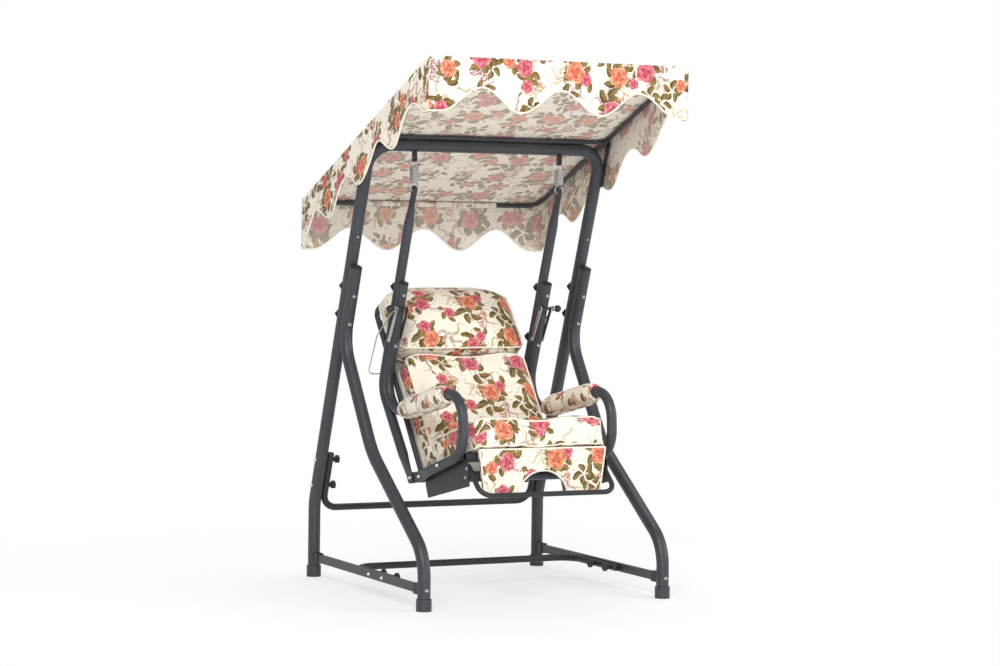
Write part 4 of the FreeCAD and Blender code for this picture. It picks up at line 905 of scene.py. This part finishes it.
def face_outline(node, way, spacing=0.012):
    """Evenly spaced points round the flat face of a CAD node that looks along way."""
    shape = node_mesh(node)
    front = max(vert.co.dot(way) for vert in shape.verts) - FACE_DEPTH
    for face in shape.faces:
        square = face.normal.dot(way) > SQUARE_FACING
        face.select = square and face.calc_center_median().dot(way) > front
    rim = {edge for edge in shape.edges if sum(face.select for face in edge.link_faces) == 1}
    spot = next(iter(rim)).verts[0]
    corners = []
    while rim:
        edge = next(found for found in spot.link_edges if found in rim)
        rim.remove(edge)
        corners.append(spot.co.copy())
        spot = edge.other_vert(spot)
    shape.free()
    points = []
    for start, end in zip(corners, corners[1:] + corners[:1]):
        count = max(1, round((end - start).length / spacing))
        points += [start.lerp(end, step / count) for step in range(count)]
    return points


class SwingOperator:
    """What the swing's operators have in common."""

    bl_options = {"REGISTER", "UNDO"}


class SWING_OT_finishes(SwingOperator, bpy.types.Operator):
    """Makes the materials and gives the metal and plastic nodes theirs"""

    bl_idname = "swing.finishes"
    bl_label = "Finishes"
    # Nodes that show another finish than their material's
    shown_as = {"foot_caps": "frame_paint", "latch_rods": "black_paint"}

    def execute(self, context):
        tint = colours()
        printed_cloth("cushion print")
        printed_cloth("canopy print")
        print_reverse("canopy reverse")
        piping_cloth("piping")
        canvas_cloth("canvas")
        by_slot = {
            "frame_paint": powder_coat("tube paint", tuple(tint.tube), least_rough=0.36),
            "black_paint": powder_coat("dark paint", tuple(tint.dark), least_rough=0.40),
            "black_plastic": moulded_plastic("moulded plastic"),
            "zinc_steel": bright_zinc("bright zinc"),
        }
        for part in frame["record"]["subparts"]:
            material = by_slot.get(self.shown_as.get(part["node"], part["material_slot"]))
            if material:
                mesh = frame["nodes"][part["node"]].data
                mesh.materials.clear()
                mesh.materials.append(material)
        return {"FINISHED"}


class SWING_OT_seat_cushion(SwingOperator, bpy.types.Operator):
    """Seat cushion with piping round its upper and lower edge"""

    bl_idname = "swing.seat_cushion"
    bl_label = "Seat Cushion"

    def execute(self, context):
        soft_cushion("seat_cushion_soft", "seat_cushion", SEAT_AXES, "seat", (1, -1))
        return {"FINISHED"}


class SWING_OT_back_cushions(SwingOperator, bpy.types.Operator):
    """Back cushion and headrest roll with their piping"""

    bl_idname = "swing.back_cushions"
    bl_label = "Back Cushions"

    def execute(self, context):
        for node, fill in (("back_cushion", 0.75), ("headrest", 0.9)):
            soft_cushion(node + "_soft", node, BACK_AXES, "backrest", (1, -1))
        return {"FINISHED"}


class SWING_OT_leg_flap(SwingOperator, bpy.types.Operator):
    """Padded flap under the seat's front edge, piped round its hem"""

    bl_idname = "swing.leg_flap"
    bl_label = "Leg Flap"

    def execute(self, context):
        hem = face_outline("leg_flap", FLAP_AXES.out)
        thin_cushion("leg_flap_soft", "leg_flap", FLAP_AXES, "seat", [hem])
        return {"FINISHED"}


class SWING_OT_armrests(SwingOperator, bpy.types.Operator):
    """Padded rolls on the arm tubes"""

    bl_idname = "swing.armrests"
    bl_label = "Armrests"
    # Share of a roll's length that counts as one of its ends
    end_share = 0.1

    def execute(self, context):
        for side in ("left", "right"):
            node = "armrest_pad_" + side
            points = node_points(node)
            low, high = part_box(node)
            end = self.end_share * (high[1] - low[1])
            front = [point for point in points if point.y < low[1] + end]
            rear = [point for point in points if point.y > high[1] - end]
            along = sum(front, Vector()) / len(front) - sum(rear, Vector()) / len(rear)
            along = Vector((0, along.y, along.z)).normalized()
            axes = PadAxes(box_middle(node), along, along.cross(X))
            thin_cushion(node + "_soft", node, axes, "seat", [], cloth_sizes().gather)
        return {"FINISHED"}


class SWING_OT_slings(SwingOperator, bpy.types.Operator):
    """Plain cloth slings under the seat and behind the back"""

    bl_idname = "swing.slings"
    bl_label = "Slings"
    segments = 24

    def execute(self, context):
        self.sling("seat_sling", SEAT_AXES, "seat", ["seat_front_tube", "seat_rear_tube"])
        self.sling("back_sling", BACK_AXES, "backrest", ["backrest_frame"])
        return {"FINISHED"}

    def sling(self, node, axes, body, carriers):
        """Sheet in a CAD sling's place that sags a little in the middle."""
        sizes = cloth_sizes()
        low, high = axes.reach(node_points(node))
        middle = (low + high) / 2
        width, length = high.x - low.x, high.y - low.y
        shape = bmesh.new()
        bmesh.ops.create_grid(shape, x_segments=self.segments, y_segments=self.segments, size=0.5)
        for vert in shape.verts:
            across, along = vert.co.x, vert.co.y
            sag = sizes.sling_sag * math.cos(across * math.pi) * math.cos(along * math.pi)
            vert.co = axes.place(
                middle.x + across * width, middle.y + along * length, middle.z - sag)
        area = sum(face.calc_area() for face in shape.faces)
        mesh = baked(shape, node + "_cloth")
        piece = dressed(node + "_cloth", mesh, bpy.data.materials["canvas"], body, node)
        thicken(piece, sizes.cloth)


class CanopyShape:
    """Maps flat canopy coordinates, from -1 to 1 across and front to rear, to the hung cloth."""

    # Half width of the part that sags, as a share of the roof's, and how abruptly the sag ends there
    sag_half = 0.92
    sag_power = 6
    # Folds of the valance for each scallop, and how far into a fold it starts
    folds_per_scallop = 1.5
    first_fold = 0.2
    # Share of a side's length over which the valance comes free of a corner
    corner_share = 1 / 9

    def __init__(self, sizes):
        self.sizes = sizes
        points = node_points("canopy_cloth")
        low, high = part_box("canopy_cloth")
        self.half = high[0]
        rim = sizes.cloth
        self.front = Vector((0, low[1], max(point.z for point in points if point.y < low[1] + rim)))
        self.rear = Vector((0, high[1], max(point.z for point in points if point.y > high[1] - rim)))
        self.run = (self.rear - self.front).length
        pivot = joint_place("canopy_tilt")
        self.bar = (pivot - self.front).dot((self.rear - self.front).normalized()) / self.run

    def roof(self, across, along):
        share = (along + 1) / 2
        point = self.front.lerp(self.rear, share) + X * (across * self.half)
        bay = share / self.bar if share < self.bar else (share - self.bar) / (1 - self.bar)
        edge = max(0.0, 1 - (abs(across) / self.sag_half) ** self.sag_power)
        return point - Z * (self.sizes.roof_sag * math.sin(math.pi * bay) * edge + self.sizes.cloth / 2)

    def hem(self, across, along, side):
        """Drop of the scalloped hem on a side or on the front and rear."""
        sizes = self.sizes
        if side:
            turns = sizes.side_waves * (along + 1) / 2
        else:
            flat = sizes.hem_margin / self.half
            turns = sizes.front_waves * min(1.0, max(0.0, (across + 1 - flat) / (2 - 2 * flat)))
        return sizes.drop + sizes.drop_wave * math.cos(math.tau * turns)

    def place(self, across, along, drop):
        point = self.roof(across, along)
        if drop == 0:
            return point
        side = abs(across) == 1
        share = (along if side else across) / 2 + 0.5
        corner = min(1.0, min(share, 1 - share) / self.corner_share)
        waves = self.sizes.side_waves if side else self.sizes.front_waves
        folds = waves * self.folds_per_scallop * share + self.first_fold
        swing = 0.5 + 0.5 * math.sin(math.tau * folds)
        out = X * math.copysign(1, across) if side else Y * math.copysign(1, along)
        return point - Z * (drop * self.hem(across, along, side)) + out * (
            self.sizes.billow * corner * swing * drop * drop)

    def laid(self, across, along, drop, side):
        """Flat print coordinates in metres."""
        flat = [across * self.half, -self.run * (along + 1) / 2]
        if drop:
            fall = drop * self.hem(across, along, side)
            flat[0 if side else 1] += math.copysign(fall, across if side else -along)
        return flat

    def hem_line(self, steps):
        """Points round the whole hem."""
        turn = [2 * step / steps - 1 for step in range(steps)]
        rim = [(spot, -1) for spot in turn] + [(1, spot) for spot in turn]
        rim += [(-spot, 1) for spot in turn] + [(-1, -spot) for spot in turn]
        return [self.place(across, along, 1) for across, along in rim]


class SWING_OT_canopy(SwingOperator, bpy.types.Operator):
    """Canopy roof and scalloped valance in one sheet, piped along the hem"""

    bl_idname = "swing.canopy"
    bl_label = "Canopy"
    columns: bpy.props.IntProperty(
        name="Columns", description="Faces along each side of the roof", default=72)
    rows: bpy.props.IntProperty(name="Rows", description="Faces down the valance", default=10)
    # Faces of a sleeve's half circle, how deep it puckers as a share of its radius, and how closely
    arc_faces = 16
    pucker_depth = 0.12
    puckers = 40

    def execute(self, context):
        sizes = cloth_sizes()
        hung = CanopyShape(sizes)
        shape = self.flat_net()
        drop = shape.verts.layers.float["drop"]
        layer = shape.loops.layers.uv.new("print")
        for face in shape.faces:
            side = all(abs(vert.co.x) == 1 for vert in face.verts)
            for loop in face.loops:
                spot = loop.vert
                loop[layer].uv = hung.laid(spot.co.x, spot.co.y, spot[drop], side)
        for edge in shape.edges:
            on_roof = all(vert[drop] == 0 for vert in edge.verts)
            at_valance = any(vert[drop] > 0 for face in edge.link_faces for vert in face.verts)
            edge.smooth = not (on_roof and at_valance)
        for vert in shape.verts:
            vert.co = hung.place(vert.co.x, vert.co.y, vert[drop])
        bmesh.ops.recalc_face_normals(shape, faces=shape.faces)
        area = sum(face.calc_area() for face in shape.faces)
        mesh = baked(shape, "canopy_sheet")
        if max(mesh.polygons, key=lambda face: face.center.z).normal.z < 0:
            mesh.flip_normals()
        self.finish(mesh, hung, sizes, area)
        return {"FINISHED"}

    def flat_net(self):
        """Grid of the roof with rows of valance grown from its edge, still flat."""
        shape = bmesh.new()
        bmesh.ops.create_grid(shape, x_segments=self.columns, y_segments=self.columns, size=1)
        drop = shape.verts.layers.float.new("drop")
        for vert in shape.verts:
            vert.co = [math.copysign(1, value) if abs(value) > 1 - 1e-5 else value for value in vert.co]
        edges = [edge for edge in shape.edges if edge.is_boundary]
        for row in range(1, self.rows + 1):
            grown = bmesh.ops.extrude_edge_only(shape, edges=edges)["geom"]
            fresh = {item for item in grown if isinstance(item, bmesh.types.BMVert)}
            for vert in fresh:
                vert[drop] = row / self.rows
            edges = [item for item in grown if isinstance(item, bmesh.types.BMEdge)]
            edges = [edge for edge in edges if set(edge.verts) <= fresh]
        return shape

    def finish(self, mesh, hung, sizes, area):
        """Puts the cloth in its place with its reverse, its piped hem and its sleeves."""
        piece = dressed("canopy_sheet", mesh, bpy.data.materials["canopy print"], "canopy", "canopy_cloth")
        mesh.materials.append(bpy.data.materials["canopy reverse"])
        thicken(piece, sizes.cloth, offset=-1.0).material_offset = 1
        cord = piping("canopy_piping", hung.hem_line(self.columns), "canopy", "canopy_fabric")
        self.sleeve("front_sleeve", "canopy_front_hoop", hung, sizes, -1)
        self.sleeve("rear_sleeve", "canopy_rear_hoop", hung, sizes, 1)
        fall = 2 * (sizes.drop + sizes.drop_wave)
        2 * hung.half + fall

    def sleeve(self, name, hoop, hung, sizes, way):
        """Strip of cloth sewn to the roof and slung under a hoop's cross bar; way is 1 for the rear."""
        points = node_points(hoop)
        ahead = (hung.rear - hung.front).normalized() * way
        up = X.cross(hung.rear - hung.front).normalized()
        heights = [point.dot(up) for point in points]
        bar = (max(heights) - min(heights)) / 2
        middle = ahead * (max(point.dot(ahead) for point in points) - bar) + up * (min(heights) + bar)
        radius = bar + sizes.cloth
        turns = [math.pi * step / self.arc_faces for step in range(self.arc_faces + 1)]
        under = [(-radius * math.cos(turn), -radius * math.sin(turn)) for turn in turns]
        rim = [(-radius, bar), *under, (radius, bar)]
        shape = bmesh.new()
        layer = shape.loops.layers.uv.new("print")
        rows = []
        for step in range(self.columns + 1):
            across = sizes.sleeve_half * (2 * step / self.columns - 1)
            pucker = 1 + self.pucker_depth * noise.noise((across * self.puckers, 0, way))
            row = []
            for aside, height in rim:
                lift = height if height > 0 else height * pucker
                row.append(shape.verts.new(middle + X * across + ahead * (aside * pucker) + up * lift))
            rows.append(row)
        for first, second in zip(rows, rows[1:]):
            for corners in zip(first, second, second[1:], first[1:]):
                face = shape.faces.new(corners)
                for loop in face.loops:
                    loop[layer].uv = (loop.vert.co.x, loop.vert.co.dot(ahead) + loop.vert.co.dot(up))
        bmesh.ops.recalc_face_normals(shape, faces=shape.faces)
        strip = dressed(name, baked(shape, name), bpy.data.materials["canopy reverse"], "canopy")
        thicken(strip, sizes.cloth / 2)


class SWING_OT_springs(SwingOperator, bpy.types.Operator):
    """Extension springs that stretch as the seat sinks"""

    bl_idname = "swing.springs"
    bl_label = "Springs"

    def execute(self, context):
        for side in ("left", "right"):
            node = "spring_" + side
            mesh = baked(node_mesh(node), node + "_coil")
            coil = dressed(node + "_coil", mesh, bpy.data.materials["bright zinc"], None, node)
            low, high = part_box(node)
            middle = box_middle(node)
            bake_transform(coil, "springs", "seat",
                     start=(middle.x, middle.y, high[2]), end=(middle.x, middle.y, low[2]))
        return {"FINISHED"}


class SWING_OT_stage(SwingOperator, bpy.types.Operator):
    """Floor, lamps, room light and camera"""

    bl_idname = "swing.stage"
    bl_label = "Stage"
    floor_half = 60
    # Share of pure white in the floor beside the swing, and where it fades to all white
    near_white = 0.6
    fade_start = 0.9
    fade_end = 2.6

    def execute(self, context):
        stage = context.scene.swing_stage
        scene = context.scene
        scene.view_settings.view_transform = "Standard"
        self.floor()
        self.room(scene, stage.sky)
        self.lamp("key", place=(-3.2, -4.6, 4.6), size=3.2, power=stage.key)
        self.lamp("fill", place=(4.6, -3.6, 2.6), size=3.0, power=stage.fill)
        self.lamp("top", place=(0.6, 1.2, 5.4), size=3.4, power=stage.fill)
        self.lamp("low", place=(-1.6, -4.4, 0.3), size=2.4, power=stage.low, aim=1.9)
        self.camera(scene, stage)
        return {"FINISHED"}

    def floor(self):
        """White floor that shows the swing's soft shadow and fades into the room."""
        shape = bmesh.new()
        bmesh.ops.create_grid(shape, x_segments=1, y_segments=1, size=self.floor_half)
        finish = Finish("floor")
        away = finish.node("VectorMath", {"operation": "LENGTH"}, {0: finish.own()}, output="Value")
        rays = finish.node("LightPath", output="Is Camera Ray")
        seen = rays.math("MAXIMUM", rays.of("Is Glossy Ray"))
        seen = seen.math("MAXIMUM", rays.of("Is Transmission Ray"))
        finish.set(Base_Color=(0.9, 0.9, 0.9, 1), Roughness=0.9, Specular_IOR_Level=0.0)
        white = finish.node("Emission", None, {"Color": (1, 1, 1, 1), "Strength": 1.0})
        plain = Socket(finish, finish.shader.outputs[0])
        share = self.near_white + (1 - self.near_white) * away.step(self.fade_start, self.fade_end)
        blend = finish.node("MixShader", None, {0: seen * share, 1: plain, 2: white})
        finish.tree.links.new(blend.socket, finish.tree.nodes["Material Output"].inputs[0])
        dressed("floor", baked(shape, "floor"), finish.material, None, smooth=False)

    def room(self, scene, strength):
        scene.world = bpy.data.worlds.new("room")
        room = Finish("room", scene.world, "Background")
        rays = room.node("LightPath", output="Is Camera Ray")
        seen = rays.math("MAXIMUM", rays.of("Is Transmission Ray"))
        room.set(Color=(1, 1, 1, 1), Strength=seen * (1 - strength) + strength)

    def lamp(self, name, place, size, power, aim=1.0):
        """Soft round lamp that points at the height aim above the swing's middle."""
        data = bpy.data.lights.new(name, "AREA")
        data.energy = power
        data.shape = "DISK"
        data.size = size
        lamp = placed(name, data)
        lamp.location = place
        lamp.rotation_mode = "QUATERNION"
        lamp.rotation_quaternion = (Z * aim - lamp.location).to_track_quat("-Z", "Y")

    def camera(self, scene, stage):
        data = bpy.data.cameras.new("camera")
        data.sensor_width = 36.0
        data.lens = stage.lens
        data.clip_end = 200.0
        camera = placed("camera", data)
        yaw, dip, roll = stage.camera_yaw, stage.camera_dip, stage.camera_roll
        ahead = Vector((-math.sin(yaw) * math.cos(dip), math.cos(yaw) * math.cos(dip), -math.sin(dip)))
        level = Vector((math.cos(yaw), math.sin(yaw), 0))
        upright = level.cross(ahead)
        right = level * math.cos(roll) + upright * math.sin(roll)
        up = upright * math.cos(roll) - level * math.sin(roll)
        turn = Matrix((right, up, -ahead)).transposed()
        camera.matrix_world = Matrix.Translation(Vector(stage.camera_place)) @ turn.to_4x4()
        scene.camera = camera


class SWING_PT_panel(bpy.types.Panel):
    """Lists the swing's steps in the sidebar"""

    bl_label = "Garden Swing"
    bl_idname = "SWING_PT_panel"
    bl_space_type = "VIEW_3D"
    bl_region_type = "UI"
    bl_category = "Swing"

    def draw(self, context):
        for step in STEPS:
            self.layout.operator(step.bl_idname)


STEPS = (
    SWING_OT_finishes,
    SWING_OT_seat_cushion,
    SWING_OT_back_cushions,
    SWING_OT_leg_flap,
    SWING_OT_armrests,
    SWING_OT_slings,
    SWING_OT_canopy,
    SWING_OT_springs,
    SWING_OT_stage,
)
GROUPS = {"swing_cloth": SwingCloth, "swing_colours": SwingColours, "swing_stage": SwingStage}


def register():
    for group in (*GROUPS.values(), *STEPS, SWING_PT_panel):
        bpy.utils.register_class(group)
    for name, group in GROUPS.items():
        setattr(bpy.types.Scene, name, bpy.props.PointerProperty(type=group))


def unregister():
    for name in GROUPS:
        delattr(bpy.types.Scene, name)
    for group in (SWING_PT_panel, *reversed(STEPS), *GROUPS.values()):
        bpy.utils.unregister_class(group)


def main():
    register()
    for step in STEPS:
        family, name = step.bl_idname.split(".")
        getattr(getattr(bpy.ops, family), name)()


if __name__ == "__main__":
    main()
